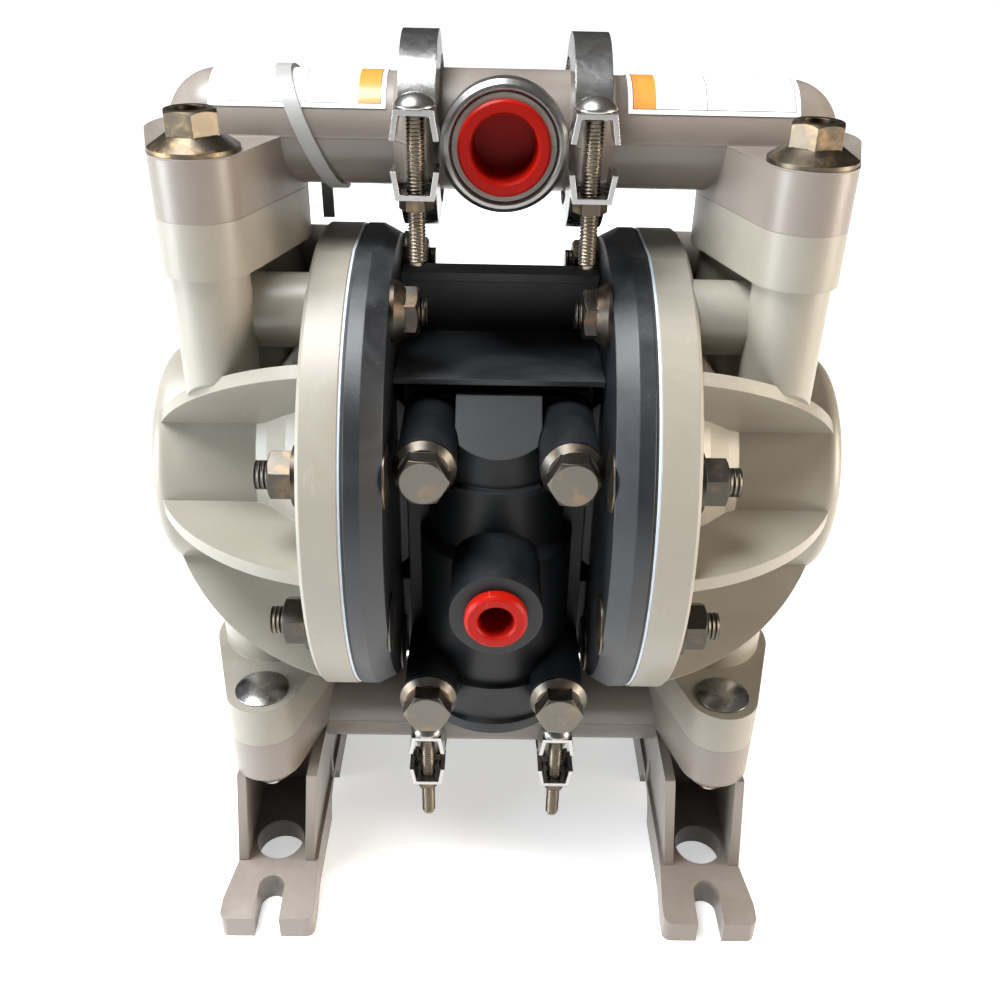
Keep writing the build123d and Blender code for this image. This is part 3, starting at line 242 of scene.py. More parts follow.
def moulded_group():
    """Fine moulded surface: grain height, cloudy mottle, thin scuffs and settled dust."""
    group, start, end = new_group(
        "Moulded surface",
        (("Grain Scale", 2200.0), ("Cloud Scale", 28.0), ("Scuff", 0.5)),
        (("Height", "NodeSocketFloat"), ("Cloud", "NodeSocketFloat"), ("Scuff", "NodeSocketFloat"),
         ("Dust", "NodeSocketFloat")),
    )
    place = object_place(group)
    grain = noise(group, place, start.outputs["Grain Scale"], Detail=3.0, Roughness=0.6)
    cloud = noise(group, place, start.outputs["Cloud Scale"], Detail=5.0, Roughness=0.62, Distortion=0.6)
    stretch = add(group, "ShaderNodeMapping", Scale=SCUFF_SCALE, Rotation=SCUFF_TURN)
    join(group, place, stretch.inputs["Vector"])
    hair = noise(group, stretch.outputs[0], 1.0, Detail=2.0, Distortion=1.2)
    scuff = maths(group, "MULTIPLY", ramp(group, hair, 0.63, 0.70), ramp(group, cloud, 0.50, 0.66))
    scuff = maths(group, "MULTIPLY", scuff, start.outputs["Scuff"])
    speck = add(group, "ShaderNodeTexVoronoi", Scale=SPECK_SCALE)
    join(group, place, speck.inputs["Vector"])
    dots = ramp(group, speck.outputs["Distance"], 0.16, 0.08)
    split = group.nodes.new("ShaderNodeSeparateXYZ")
    join(group, group.nodes.new("ShaderNodeNewGeometry").outputs["Normal"], split.inputs[0])
    facing_up = ramp(group, split.outputs["Z"], 0.1, 1.0)
    film = maths(group, "MULTIPLY", facing_up, ramp(group, cloud, 0.35, 0.75))
    dust = maths(group, "ADD", film, maths(group, "MULTIPLY", dots, facing_up))
    feed(group, end.inputs, (grain, cloud, scuff, maths(group, "MULTIPLY", dust, 0.5)))
    return group


def edge_group():
    """Rounded edges: a softened normal and a mask that is high along sharp edges."""
    group, start, end = new_group(
        "Soft edges", (("Radius", 0.0005),), (("Normal", "NodeSocketVector"), ("Edge", "NodeSocketFloat"))
    )
    bevel = group.nodes.new("ShaderNodeBevel")
    bevel.samples = 4
    join(group, start.outputs["Radius"], bevel.inputs["Radius"])
    flat = group.nodes.new("ShaderNodeNewGeometry")
    cosine = group.nodes.new("ShaderNodeVectorMath")
    cosine.operation = "DOT_PRODUCT"
    join(group, bevel.outputs[0], cosine.inputs[0])
    join(group, flat.outputs["Normal"], cosine.inputs[1])
    join(group, bevel.outputs[0], end.inputs["Normal"])
    join(group, ramp(group, cosine.outputs["Value"], EDGE_NONE, EDGE_FULL), end.inputs["Edge"])
    return group


def steel_group():
    """Handled stainless: brushed height, uneven roughness and warm stains."""
    group, start, end = new_group(
        "Handled steel",
        (("Brush Scale", 1600.0), ("Stain", 0.5)),
        (("Height", "NodeSocketFloat"), ("Uneven", "NodeSocketFloat"), ("Stain", "NodeSocketFloat")),
    )
    place = object_place(group)
    brush = noise(group, place, start.outputs["Brush Scale"], Detail=4.0, Roughness=0.7)
    uneven = noise(group, place, 260.0, Detail=4.0, Roughness=0.65, Distortion=0.8)
    stain = noise(group, place, 130.0, Detail=6.0, Roughness=0.7, Distortion=0.4)
    amount = maths(group, "MULTIPLY", ramp(group, stain, 0.48, 0.70), start.outputs["Stain"])
    feed(group, end.inputs, (brush, uneven, amount))
    return group


def placed(tree, name, **inputs):
    """A shared group, built once, placed in a material with its inputs set."""
    makers = {"Moulded surface": moulded_group, "Soft edges": edge_group, "Handled steel": steel_group}
    node = tree.nodes.new("ShaderNodeGroup")
    node.node_tree = bpy.data.node_groups.get(name) or makers[name]()
    for label, value in inputs.items():
        node.inputs[label.replace("_", " ")].default_value = value
    return node


# ---- Materials ----
PALE_DUST = (0.62, 0.60, 0.56)
# Dust tinted blue for the black parts: real dust on upward faces, plus a painted cool reflection there.
DUST_AND_COOL_REFLECTION = (0.19, 0.205, 0.225)
RUST = (0.33, 0.19, 0.09)
WARM_STAIN = (0.30, 0.25, 0.19)
GRAIN_HEIGHT = 0.03 * MM
BRUSH_HEIGHT = 0.008 * MM
SEAM_HALF = 0.1 * MM  # full height of a parting line up to this far from its middle
SEAM_FADE = 0.5 * MM
SEAM_HEIGHT = 0.12 * MM
FINE_EDGE = 0.3 * MM
PLUG_EDGE = 0.6 * MM
M8_PITCH = 1.25 * MM
M8_THREAD = 0.6 * MM
THREAD_START_X = 54.5 * MM  # inside the washers of the chamber bolts, which are plain up to there


def blank_material(name):
    """New material, its node tree and its principled shader."""
    material = bpy.data.materials.new(name)
    material.use_nodes = True
    return material, material.node_tree, material.node_tree.nodes["Principled BSDF"]


def moulded(name, base, rough, scuff, dust_colour, dust, seam_z=None, edge_highlight_gain=1.18):
    """Moulded polymer with grain, mottling, scuffs, dust, soft edges carrying a painted highlight, and an
    optional parting line.
    """
    material, tree, shader = blank_material(name)
    surface = placed(tree, "Moulded surface", Scuff=scuff)
    edges = placed(tree, "Soft edges", Radius=sizes().edge_round)
    tone = blend_colours(tree, surface.outputs["Cloud"], scaled(base, 0.90), scaled(base, 1.08))
    worn = blend_colours(tree, surface.outputs["Scuff"], tone, scaled(base, 1.5, 0.02))
    # Painted highlight: sharp edges are painted lighter than the rest of the surface, most of all on the
    # black parts.
    edge_highlight_amount = maths(tree, "MULTIPLY", edges.outputs["Edge"], 0.5)
    edge_highlit_tone = blend_colours(tree, edge_highlight_amount, worn, scaled(base, edge_highlight_gain, 0.01))
    dust_amount = maths(tree, "MULTIPLY", surface.outputs["Dust"], dust)
    dusty = blend_colours(tree, dust_amount, edge_highlit_tone, dust_colour)
    join(tree, dusty, shader.inputs["Base Color"])
    uneven = maths(tree, "MULTIPLY_ADD", surface.outputs["Cloud"], 0.22, rough - 0.11)
    dulled = maths(tree, "MULTIPLY", surface.outputs["Dust"], 0.2 * dust)
    join(tree, maths(tree, "ADD", uneven, dulled, clamp=True), shader.inputs["Roughness"])
    normal = bump(tree, surface.outputs["Height"], GRAIN_HEIGHT, edges.outputs["Normal"])
    if seam_z is not None:
        away = maths(tree, "ABSOLUTE", maths(tree, "SUBTRACT", axis_value(tree, "Z"), seam_z))
        normal = bump(tree, ramp(tree, away, SEAM_FADE, SEAM_HALF), SEAM_HEIGHT, normal)
    join(tree, normal, shader.inputs["Normal"])
    return material


def steel(name, base, rough, stain, stain_colour, thread_axis=None, thread_from=0.0):
    """Stainless with uneven polish; an M8 thread can be drawn along one axis beyond a distance, with painted
    shade in its roots.
    """
    material, tree, shader = blank_material(name)
    metal = placed(tree, "Handled steel", Stain=stain)
    edges = placed(tree, "Soft edges", Radius=FINE_EDGE)
    tone = blend_colours(tree, metal.outputs["Uneven"], scaled(base, 0.86), base)
    tone = blend_colours(tree, metal.outputs["Stain"], tone, stain_colour)
    normal = bump(tree, metal.outputs["Height"], BRUSH_HEIGHT, edges.outputs["Normal"])
    if thread_axis is not None:
        along = axis_value(tree, thread_axis)
        wave = maths(tree, "SINE", maths(tree, "MULTIPLY", along, 2 * math.pi / M8_PITCH))
        crest = maths(tree, "MULTIPLY_ADD", wave, 0.5, 0.5)
        reach = maths(tree, "GREATER_THAN", maths(tree, "ABSOLUTE", along), thread_from)
        normal = bump(tree, maths(tree, "MULTIPLY", crest, reach), M8_THREAD, normal)
        # Painted shade: the thread's roots are darkened for the shade they would hold.
        painted_root_shade = maths(tree, "MULTIPLY", maths(tree, "SUBTRACT", 1.0, crest), reach)
        tone = blend_colours(tree, maths(tree, "MULTIPLY", painted_root_shade, 0.75), tone, scaled(base, 0.30))
    join(tree, tone, shader.inputs["Base Color"])
    join(tree, normal, shader.inputs["Normal"])
    spread = maths(tree, "MULTIPLY_ADD", metal.outputs["Uneven"], 0.25, rough - 0.12)
    dulled = maths(tree, "MULTIPLY", metal.outputs["Stain"], 0.2)
    join(tree, maths(tree, "ADD", spread, dulled, clamp=True), shader.inputs["Roughness"])
    shader.inputs["Metallic"].default_value = 1.0
    return material


def soft_plastic(name, base, dark, rough, rough_spread, edge, grain_height, **surface_inputs):
    """Plain soft plastic; returns the material, its tree, shader, surface and tone for additions."""
    material, tree, shader = blank_material(name)
    surface = placed(tree, "Moulded surface", **surface_inputs)
    edges = placed(tree, "Soft edges", Radius=edge)
    tone = blend_colours(tree, surface.outputs["Cloud"], scaled(base, dark), base)
    join(tree, tone, shader.inputs["Base Color"])
    uneven = maths(tree, "MULTIPLY_ADD", surface.outputs["Cloud"], rough_spread, rough)
    join(tree, uneven, shader.inputs["Roughness"])
    normal = bump(tree, surface.outputs["Height"], grain_height, edges.outputs["Normal"])
    join(tree, normal, shader.inputs["Normal"])
    return material, tree, shader, surface, tone


def plug_material():
    """Red polyethylene, rubbed paler in places and slightly translucent."""
    material, tree, shader, surface, tone = soft_plastic(
        "Plug red", tuple(finishes().plug), 0.82, 0.24, 0.2, PLUG_EDGE, 0.04 * MM, Grain_Scale=900.0
    )
    rubbed = blend_colours(tree, surface.outputs["Scuff"], tone, (0.75, 0.10, 0.05))
    join(tree, rubbed, shader.inputs["Base Color"])
    shader.inputs["Specular IOR Level"].default_value = 0.12
    shader.inputs["Subsurface Weight"].default_value = 0.06
    shader.inputs["Subsurface Radius"].default_value = (0.003, 0.0008, 0.0004)
    shader.inputs["Subsurface Scale"].default_value = 1.0
    return material


def tie_material():
    """Natural nylon, slightly translucent."""
    material, _, shader, _, _ = soft_plastic(
        "Tie nylon", tuple(finishes().tie), 0.9, 0.30, 0.15, FINE_EDGE, 0.02 * MM
    )
    shader.inputs["Subsurface Weight"].default_value = 0.25
    shader.inputs["Subsurface Radius"].default_value = (0.002, 0.002, 0.002)
    return material


def paper_material(name, base):
    """Printed paper under a thin clear film."""
    material, tree, shader = blank_material(name)
    surface = placed(tree, "Moulded surface", Cloud_Scale=90.0)
    tone = blend_colours(tree, surface.outputs["Cloud"], scaled(base, 0.93), base)
    grime = maths(tree, "MULTIPLY", surface.outputs["Scuff"], 0.6)
    join(tree, blend_colours(tree, grime, tone, (0.45, 0.43, 0.40)), shader.inputs["Base Color"])
    uneven = maths(tree, "MULTIPLY_ADD", surface.outputs["Cloud"], 0.2, 0.28)
    join(tree, uneven, shader.inputs["Roughness"])
    join(tree, bump(tree, surface.outputs["Height"], 0.01 * MM), shader.inputs["Normal"])
    shader.inputs["Coat Weight"].default_value = 0.3
    shader.inputs["Coat Roughness"].default_value = 0.15
    return material


# ---- Finishes of the solids ----
def dress(material, *nodes):
    """Give CAD nodes a material in every slot they have."""
    for name in nodes:
        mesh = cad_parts[name].data
        if not mesh.materials:
            mesh.materials.append(material)
        for index in range(len(mesh.materials)):
            mesh.materials[index] = material


def dress_fluid_side(colours):
    """Fluid caps, elbows, feet and tees, and what the fluid meets inside."""
    chamber, manifold = tuple(colours.chamber), tuple(colours.manifold)
    dress(moulded("Chamber polymer", chamber, 0.36, 0.35, PALE_DUST, 0.25),
          "fluid_cap_left", "fluid_cap_right")
    dress(moulded("Outlet polymer", manifold, 0.33, 0.35, PALE_DUST, 0.25, seam_z=OUTLET_Z),
          "outlet_elbow_left", "outlet_elbow_right", "outlet_tee")
    dress(moulded("Inlet polymer", manifold, 0.33, 0.35, PALE_DUST, 0.25, seam_z=INLET_Z),
          "foot_left", "foot_right", "inlet_elbow_left", "inlet_elbow_right", "inlet_tee")
    dress(moulded("Plate polymer", chamber, 0.45, 0.2, PALE_DUST, 0.2),
          "fluid_side_plate_left", "fluid_side_plate_right")
    dress(moulded("Fluoropolymer", tuple(colours.diaphragm), 0.34, 0.1, PALE_DUST, 0.2),
          "diaphragm_left", "diaphragm_right", "outlet_ball_left", "outlet_ball_right",
          "inlet_ball_left", "inlet_ball_right", "pilot_rod", "valve_seats")


def dress_air_side(colours):
    """Black air caps, centre body and valve, and the rubber between them."""
    air_side = tuple(colours.air_side)
    dress(moulded("Air side polymer", air_side, 0.40, 0.5, DUST_AND_COOL_REFLECTION, 0.5, edge_highlight_gain=2.2),
          "air_cap_left", "air_cap_right", "centre_body", "muffler")
    valve = moulded("Valve polymer", scaled(air_side, 0.6), 0.46, 0.3, DUST_AND_COOL_REFLECTION, 0.12, edge_highlight_gain=2.2)
    valve.node_tree.nodes["Principled BSDF"].inputs["Specular IOR Level"].default_value = 0.3
    dress(valve, "valve_block", "valve_top_cap", "valve_end_cap")
    dress(moulded("Rubber", tuple(colours.rubber), 0.62, 0.2, DUST_AND_COOL_REFLECTION, 0.4),
          "diaphragm_backup_left", "diaphragm_backup_right", "centre_gaskets", "valve_gasket",
          "shaft_seals", "spool_seals", "seat_rings", "tee_seals")


def dress_fasteners(colours):
    """Screws, nuts, studs and clamps."""
    base, clamp = tuple(colours.fastener), tuple(colours.clamp)
    dress(steel("Fastener steel", base, 0.36, 0.35, RUST), "valve_screws", "air_cap_screws", "foot_nuts")
    dress(steel("Nut steel", scaled(base, 0.55), 0.38, 0.3, RUST),
          "chamber_nuts", "chamber_washers", "cap_stud_nuts")
    # Painted warm reflection: these nuts get a warm brown tone that stands in for a warm reflection.
    dress(steel("Steel with painted warm reflection", (0.105, 0.088, 0.066), 0.36, 0.5, (0.42, 0.27, 0.13)),
          "manifold_stud_nuts", "clamp_nuts")
    dress(steel("Threaded steel across", base, 0.36, 0.5, RUST, "X", THREAD_START_X), "chamber_bolts")
    dress(steel("Stud steel across", base, 0.36, 0.6, RUST, "X"), "cap_studs")
    dress(steel("Threaded steel upright", base, 0.36, 0.4, RUST, "Z"), "manifold_studs")
    dress(steel("Clamp steel", clamp, 0.24, 0.12, WARM_STAIN), "clamp_bands", "foot_bolts", "clamp_bolts")
    dress(steel("Ring steel", scaled(clamp, 0.72), 0.36, 0.1, (0.22, 0.19, 0.15)), "outlet_port_ring")


def dress_inner_metal():
    """Shaft, plates, spool and bushes."""
    dress(steel("Shaft steel", (0.62, 0.62, 0.63), 0.22, 0.05, RUST), "diaphragm_shaft")
    dress(steel("Cast alloy", (0.55, 0.55, 0.57), 0.45, 0.1, RUST),
          "air_side_plate_left", "air_side_plate_right", "valve_spool")
    dress(steel("Bush bronze", (0.60, 0.40, 0.18), 0.35, 0.2, RUST), "shaft_bushes")


class PUMP_OT_finishes(bpy.types.Operator):
    """Give every solid of the pump its finish"""

    bl_idname = "pump.finishes"
    bl_label = "Finishes"

    def execute(self, context):
        dress_fluid_side(finishes())
        dress_air_side(finishes())
        dress_fasteners(finishes())
        dress_inner_metal()
        dress(plug_material(), "outlet_plug", "air_plug")
        dress(tie_material(), "cable_tie")
        return {"FINISHED"}


# ---- Mesh helpers ----
MERGE_DISTANCE = 0.0001 * MM


def finished(bm, name, body, materials, replaces=(), smooth_angle=35.0):
    """Turn a bmesh into a finished piece that rides on a body."""
    bmesh.ops.remove_doubles(bm, verts=bm.verts, dist=MERGE_DISTANCE)
    bmesh.ops.recalc_face_normals(bm, faces=bm.faces)
    mesh = bpy.data.meshes.new(name)
    bm.to_mesh(mesh)
    bm.free()
    for material in materials:
        mesh.materials.append(material)
    piece = bpy.data.objects.new(name, mesh)
    bpy.context.scene.collection.objects.link(piece)
    mesh.shade_smooth()
    mesh.set_sharp_from_angle(angle=math.radians(smooth_angle))
    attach(piece, body)
    if replaces:
        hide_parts(*replaces)


def spin_outline(bm, verts, x, y, angle, steps, **options):
    """Join points into an outline and spin it about the upright line at x, y."""
    edges = [bm.edges.new(pair) for pair in zip(verts, verts[1:])]
    bmesh.ops.spin(
        bm, geom=verts + edges, cent=(x, y, 0), axis=(0, 0, 1), angle=angle, steps=steps, **options
    )


# ---- Clamp bolts with their rolled threads ----
HEAD_R = 5.5 * MM
HEAD_H = 3.6 * MM
HEAD_EDGE = 0.6 * MM  # straight edge below the dome
HEAD_RIM_IN = 0.2 * MM
HEAD_RIM_UP = 0.3 * MM
HEAD_ARC_STEPS = 8
HEAD_STEPS = 40
BOLT_R = 2.4 * MM
BOLTS_LOW, BOLTS_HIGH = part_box("clamp_bolts")
CLAMP_X = BOLTS_HIGH.x - HEAD_R
BOLT_Y = (BOLTS_LOW.y + BOLTS_HIGH.y) / 2
BOLT_TOP = BOLTS_HIGH.z - HEAD_H - OUTLET_Z
BOLT_TAIL = BOLTS_LOW.z - INLET_Z
THREAD_STEPS = 16
CORE_STEPS = 24
CORE_SHARE = 0.9  # the core lies this share of the thread's depth inside the crests
BOLT_END_ROUND = 0.4 * MM
HEAD_OVERLAP = 0.5 * MM  # the rod runs this far into its head


def threaded_rod(bm, x, y, z_low, z_high, radius, pitch, depth):
    """Helical thread made by spinning one tooth along the axis, over a plain core."""
    turns = max(1, int((z_high - z_low) / pitch) - 1)
    start = z_low + 0.5 * pitch
    tooth = ((radius - depth, 0.0), (radius, 0.35), (radius, 0.5), (radius - depth, 0.85))
    verts = [bm.verts.new((x + r, y, start + rise * pitch)) for r, rise in tooth]
    spin_outline(bm, verts, x, y, 2 * math.pi * turns, THREAD_STEPS * turns,
                 dvec=(0, 0, pitch / THREAD_STEPS), use_merge=False)
    core_r = radius - CORE_SHARE * depth
    core = bmesh.ops.create_cone(
        bm, cap_ends=True, segments=CORE_STEPS, radius1=core_r, radius2=core_r, depth=z_high - z_low,
        matrix=Matrix.Translation((x, y, (z_low + z_high) / 2)),
    )
    edges = {edge for vert in core["verts"] for edge in vert.link_edges}
    rim = [edge for edge in edges if all(abs(vert.co.z - z_low) < MERGE_DISTANCE for vert in edge.verts)]
    bmesh.ops.bevel(bm, geom=rim, offset=BOLT_END_ROUND, segments=2, profile=0.5, affect="EDGES", material=-1)


def domed_head(bm, x, y, z, radius, height):
    """Carriage bolt head in the second material: a dome with a thin edge and a rounded rim."""
    rise = height - HEAD_EDGE
    ball = (radius ** 2 + rise ** 2) / (2 * rise)
    sweep = math.asin(radius / ball)
    points = [(0.0, 0.0), (radius - HEAD_RIM_IN, 0.0), (radius, HEAD_RIM_UP)]
    for k in range(HEAD_ARC_STEPS + 1):
        tilt = sweep * (1 - k / HEAD_ARC_STEPS)
        points.append((ball * math.sin(tilt), height - ball + ball * math.cos(tilt)))
    known = set(bm.faces)
    verts = [bm.verts.new((x + r, y, z + up)) for r, up in points]
    spin_outline(bm, verts, x, y, 2 * math.pi, HEAD_STEPS, use_merge=True)
    for face in set(bm.faces) - known:
        face.material_index = 1


class PUMP_OT_clamp_bolts(bpy.types.Operator):
    """Model the clamps' bolts with domed heads and rolled threads"""

    bl_idname = "pump.clamp_bolts"
    bl_label = "Clamp bolts"

    def execute(self, context):
        size = sizes()
        bm = bmesh.new()
        for x in (-CLAMP_X, CLAMP_X):
            for level in (INLET_Z, OUTLET_Z):
                threaded_rod(bm, x, BOLT_Y, level + BOLT_TAIL, level + BOLT_TOP + HEAD_OVERLAP, BOLT_R,
                             size.thread_pitch, size.thread_depth)
                domed_head(bm, x, BOLT_Y, level + BOLT_TOP, HEAD_R, HEAD_H)
        thread = steel("Rolled thread steel", (0.24, 0.205, 0.16), 0.30, 0.25, (0.16, 0.11, 0.07))
        head = steel("Bolt head steel", (0.36, 0.35, 0.34), 0.30, 0.2, WARM_STAIN)
        finished(bm, "clamp_bolts_threaded", "pump", [thread, head], ("clamp_bolts",), 50.0)
        return {"FINISHED"}


# ---- Stickers ----
# Angles round the pipe are from its top, positive towards the front.
STICKER_ANGLES = (math.radians(-55), math.radians(61))
STICKER_STEP = math.radians(3)
STICKER_RIM = 1.2 * MM
STICKER_INK = 0.22 * MM
PAPER, LINE, BLOCK = range(3)
# Left and right ends, the coloured block's two ends and the divider, all along X.
STICKERS = {
    "left": (-79.6 * MM, -32.0 * MM, (-39.4 * MM, -33.3 * MM), -53.4 * MM),
    "right": (33.2 * MM, 79.8 * MM, (34.1 * MM, 40.8 * MM), 54.5 * MM),
}


def sticker_breaks(low, high, block, divider):
    """Places along X and angles round the pipe at which the print on a sticker changes."""
    rim, ink = STICKER_RIM, STICKER_INK
    along = {low, low + rim, low + rim + ink, high - rim - ink, high - rim, high, *block,
             divider - ink / 2, divider + ink / 2}
    start, end = STICKER_ANGLES
    count = round((end - start) / STICKER_STEP)
    angles = {start + (end - start) * k / count for k in range(count + 1)}
    for inset in (rim / PIPE_R, (rim + ink) / PIPE_R):
        angles |= {start + inset, end - inset}
    return sorted(along), sorted(angles)


def sticker_tone(x, angle, low, high, block, divider):
    """Material slot of one cell of the sticker."""
    start, end = STICKER_ANGLES
    from_side = min(x - low, high - x, (angle - start) * PIPE_R, (end - angle) * PIPE_R) - STICKER_RIM
    if from_side < 0:
        return PAPER
    if from_side < STICKER_INK or abs(x - divider) < STICKER_INK / 2:
        return LINE
    return BLOCK if block[0] < x < block[1] else PAPER


def sticker_mesh(plan, thickness):
    """Sheet wrapped round the outlet pipe, each cell in the material of its print."""
    along, angles = sticker_breaks(*plan)
    bm = bmesh.new()
    bmesh.ops.create_grid(bm, x_segments=len(along) - 1, y_segments=len(angles) - 1, size=0.5)
    spots = {}
    radius = PIPE_R + thickness
    for vert in bm.verts:
        x = along[round((vert.co.x + 0.5) * (len(along) - 1))]
        angle = angles[round((vert.co.y + 0.5) * (len(angles) - 1))]
        spots[vert] = (x, angle)
        vert.co = Vector((x, -radius * math.sin(angle), OUTLET_Z + radius * math.cos(angle)))
    for face in bm.faces:
        x, angle = (sum(spots[vert][k] for vert in face.verts) / 4 for k in (0, 1))
        face.material_index = sticker_tone(x, angle, *plan)
    bmesh.ops.recalc_face_normals(bm, faces=bm.faces)
    bmesh.ops.solidify(bm, geom=list(bm.faces), thickness=thickness)
    return bm


class PUMP_OT_stickers(bpy.types.Operator):
    """Wrap a plain paper sticker with a thin frame and a coloured end round each outlet pipe"""

    bl_idname = "pump.stickers"
    bl_label = "Stickers"

    def execute(self, context):
        colours = finishes()
        papers = [paper_material("Sticker paper", tuple(colours.sticker)),
                  paper_material("Sticker line", tuple(colours.sticker_line)),
                  paper_material("Sticker block", tuple(colours.sticker_block))]
        for side, plan in STICKERS.items():
            bm = sticker_mesh(plan, sizes().sticker_thickness)
            finished(bm, f"sticker_{side}", "pump", papers)
        return {"FINISHED"}


# ---- Stage ----
AIM_HIGH = (0.0, 0.0, 0.15)
AIM_LEFT = (-0.08, 0.0, 0.12)
AIM_RIGHT = (0.08, 0.0, 0.12)
# Place, aim, width and tint of each lamp.
LAMPS = {
    "Key": ((-0.36, -0.14, 1.10), AIM_HIGH, 0.6, (0.98, 0.99, 1.0)),
    "Window": ((-0.85, -0.28, 0.28), AIM_LEFT, 0.5, (0.90, 0.96, 1.0)),
    "Fill": ((0.85, -0.20, 0.30), AIM_RIGHT, 0.5, (1.0, 0.88, 0.74)),
}
WHITE = (1.0, 1.0, 1.0)
FLOOR_SIZE = 4.0
SHADOW_REACH = 0.25  # the floor keeps its deepest shadow up to this distance from the pump's middle
WHITE_FROM = 1.2
WHITE_NEAR = 0.5
WHITE_FAR = 0.95


def set_camera(settings):
    """Camera from its place, yaw, pitch and roll."""
    yaw, pitch, roll = settings.yaw, settings.pitch, settings.roll
    ahead = Vector((math.sin(yaw) * math.cos(pitch), math.cos(yaw) * math.cos(pitch), -math.sin(pitch)))
    right = ahead.cross(Vector((0, 0, 1))).normalized()
    up = right.cross(ahead)
    across = right * math.cos(roll) + up * math.sin(roll)
    above = up * math.cos(roll) - right * math.sin(roll)
    data = bpy.data.cameras.new("Camera")
    data.lens = settings.lens
    data.sensor_width = 36.0
    data.clip_start = 0.01
    camera = bpy.data.objects.new("Camera", data)
    facing = Matrix((across, above, -ahead)).transposed().to_4x4()
    camera.matrix_world = Matrix.Translation(settings.camera_place) @ facing
    bpy.context.scene.collection.objects.link(camera)
    bpy.context.scene.camera = camera


def area_lamp(name, energy):
    """Round lamp from the table of lamps, turned to its aim."""
    place, target, width, tint = LAMPS[name]
    data = bpy.data.lights.new(name, "AREA")
    data.shape = "DISK"
    data.size = width
    data.energy = energy
    data.color = tint
    lamp = bpy.data.objects.new(name, data)
    lamp.location = place
    lamp.rotation_euler = (Vector(target) - Vector(place)).to_track_quat("-Z", "Y").to_euler()
    bpy.context.scene.collection.objects.link(lamp)


def ray_kinds(tree, *names):
    """1 for rays of the named kinds and 0 for others."""
    paths = tree.nodes.new("ShaderNodeLightPath")
    seen = paths.outputs[names[0]]
    for name in names[1:]:
        seen = maths(tree, "MAXIMUM", seen, paths.outputs[name])
    return seen


def seen_white(tree, shader_output):
    """Add white to what the camera and mirror-like rays see: some near the pump, more far from it."""
    away = tree.nodes.new("ShaderNodeVectorMath")
    away.operation = "LENGTH"
    join(tree, object_place(tree), away.inputs[0])
    distance = ramp(tree, away.outputs["Value"], SHADOW_REACH, WHITE_FROM)
    strength = maths(tree, "MULTIPLY_ADD", distance, WHITE_FAR - WHITE_NEAR, WHITE_NEAR)
    seen = ray_kinds(tree, "Is Camera Ray", "Is Glossy Ray", "Is Transmission Ray")
    glow = add(tree, "ShaderNodeEmission", Color=(*WHITE, 1.0))
    join(tree, maths(tree, "MULTIPLY", seen, strength), glow.inputs["Strength"])
    both = tree.nodes.new("ShaderNodeAddShader")
    join(tree, shader_output, both.inputs[0])
    join(tree, glow.outputs[0], both.inputs[1])
    return both.outputs[0]


def add_floor(settings):
    """Pale matt floor that keeps the pump's shadow."""
    bm = bmesh.new()
    bmesh.ops.create_grid(bm, x_segments=1, y_segments=1, size=FLOOR_SIZE)
    mesh = bpy.data.meshes.new("Floor")
    bm.to_mesh(mesh)
    bm.free()
    floor = bpy.data.objects.new("Floor", mesh)
    bpy.context.scene.collection.objects.link(floor)
    material, tree, shader = blank_material("Floor")
    shader.inputs["Roughness"].default_value = 0.9
    shader.inputs["Specular IOR Level"].default_value = 0.1
    shader.inputs["Base Color"].default_value = (*settings.floor, 1.0)
    join(tree, seen_white(tree, shader.outputs[0]), tree.nodes["Material Output"].inputs["Surface"])
    mesh.materials.append(material)


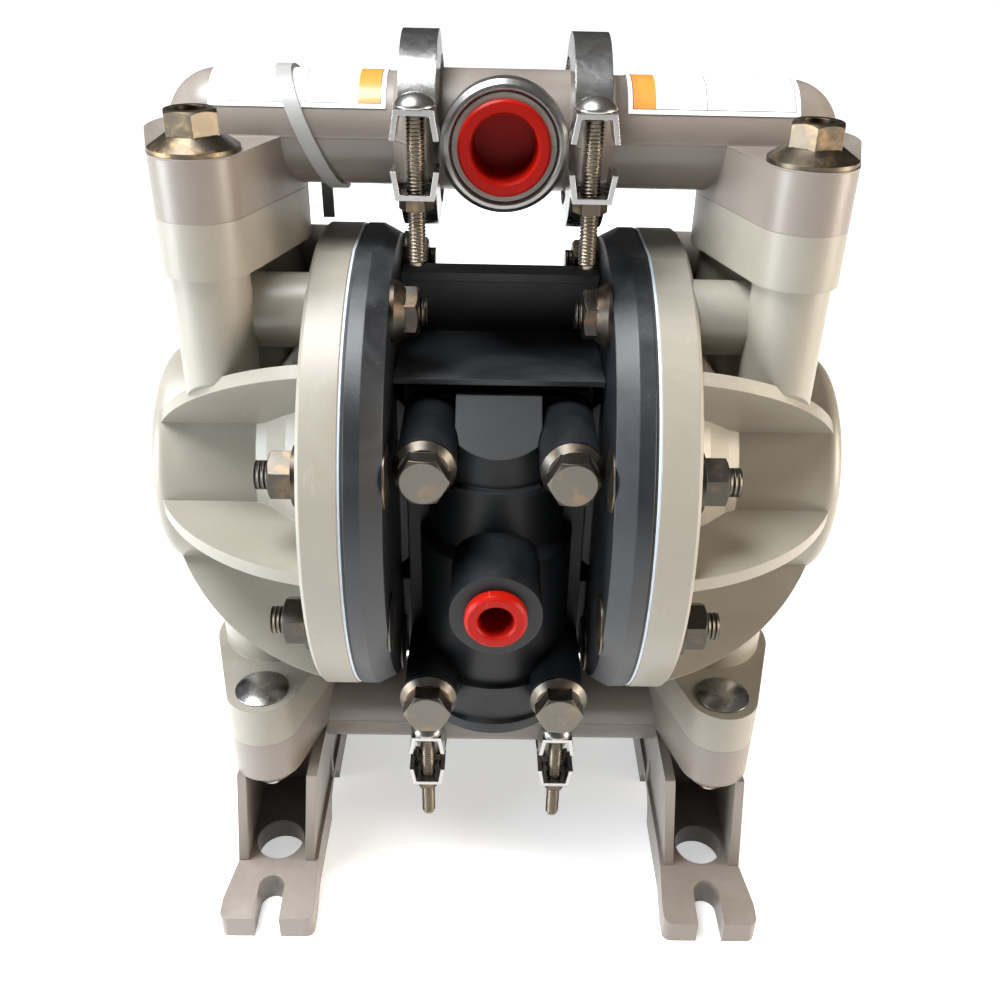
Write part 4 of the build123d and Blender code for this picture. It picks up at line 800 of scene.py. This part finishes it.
def add_world(settings):
    """Room that is brighter above and cooler on the left, and that the camera sees as white."""
    world = bpy.data.worlds.new("Studio")
    world.use_nodes = True
    bpy.context.scene.world = world
    tree = world.node_tree
    back = tree.nodes["Background"]
    split = tree.nodes.new("ShaderNodeSeparateXYZ")
    join(tree, tree.nodes.new("ShaderNodeTexCoord").outputs["Generated"], split.inputs[0])
    rise = ramp(tree, split.outputs["Z"], 0.0, 0.9)
    side = ramp(tree, split.outputs["X"], -0.9, 0.9)
    dim = blend_colours(tree, side, (0.12, 0.13, 0.14), (0.09, 0.075, 0.062))
    lit = blend_colours(tree, side, (0.95, 1.0, 1.05), (0.70, 0.64, 0.58))
    seen = ray_kinds(tree, "Is Camera Ray", "Is Transmission Ray")
    room = blend_colours(tree, rise, dim, lit)
    join(tree, blend_colours(tree, seen, room, WHITE), back.inputs["Color"])
    extra = maths(tree, "MULTIPLY", seen, 1.0 - settings.sky)
    join(tree, maths(tree, "ADD", extra, settings.sky), back.inputs["Strength"])


class PUMP_OT_stage(bpy.types.Operator):
    """Set the camera, the lamps and a pale floor round the pump"""

    bl_idname = "pump.stage"
    bl_label = "Stage"

    def execute(self, context):
        settings = stage_settings()
        set_camera(settings)
        area_lamp("Key", settings.key_power)
        area_lamp("Window", settings.window_power)
        area_lamp("Fill", settings.fill_power)
        add_floor(settings)
        add_world(settings)
        context.scene.view_settings.view_transform = "Standard"
        return {"FINISHED"}


class PUMP_PT_panel(bpy.types.Panel):
    """Lists the pump's pieces and finishes"""

    bl_label = "Diaphragm pump"
    bl_idname = "PUMP_PT_panel"
    bl_space_type = "VIEW_3D"
    bl_region_type = "UI"
    bl_category = "Pump"

    def draw(self, context):
        for operator in OPERATORS:
            self.layout.operator(operator.bl_idname)
        for group in (finishes(), sizes(), stage_settings()):
            column = self.layout.column()
            for name in group.__annotations__:
                column.prop(group, name)


OPERATORS = (PUMP_OT_finishes, PUMP_OT_clamp_bolts, PUMP_OT_stickers, PUMP_OT_stage)
CLASSES = (PumpFinishSettings, PumpSizeSettings, PumpStageSettings, *OPERATORS, PUMP_PT_panel)


def register():
    for cls in CLASSES:
        bpy.utils.register_class(cls)
    bpy.types.Scene.pump_finish = bpy.props.PointerProperty(type=PumpFinishSettings)
    bpy.types.Scene.pump_size = bpy.props.PointerProperty(type=PumpSizeSettings)
    bpy.types.Scene.pump_stage = bpy.props.PointerProperty(type=PumpStageSettings)


def unregister():
    del bpy.types.Scene.pump_stage
    del bpy.types.Scene.pump_size
    del bpy.types.Scene.pump_finish
    for cls in reversed(CLASSES):
        bpy.utils.unregister_class(cls)


def main():
    register()
    bpy.ops.pump.finishes()
    bpy.ops.pump.clamp_bolts()
    bpy.ops.pump.stickers()
    bpy.ops.pump.stage()


if __name__ == "__main__":
    main()
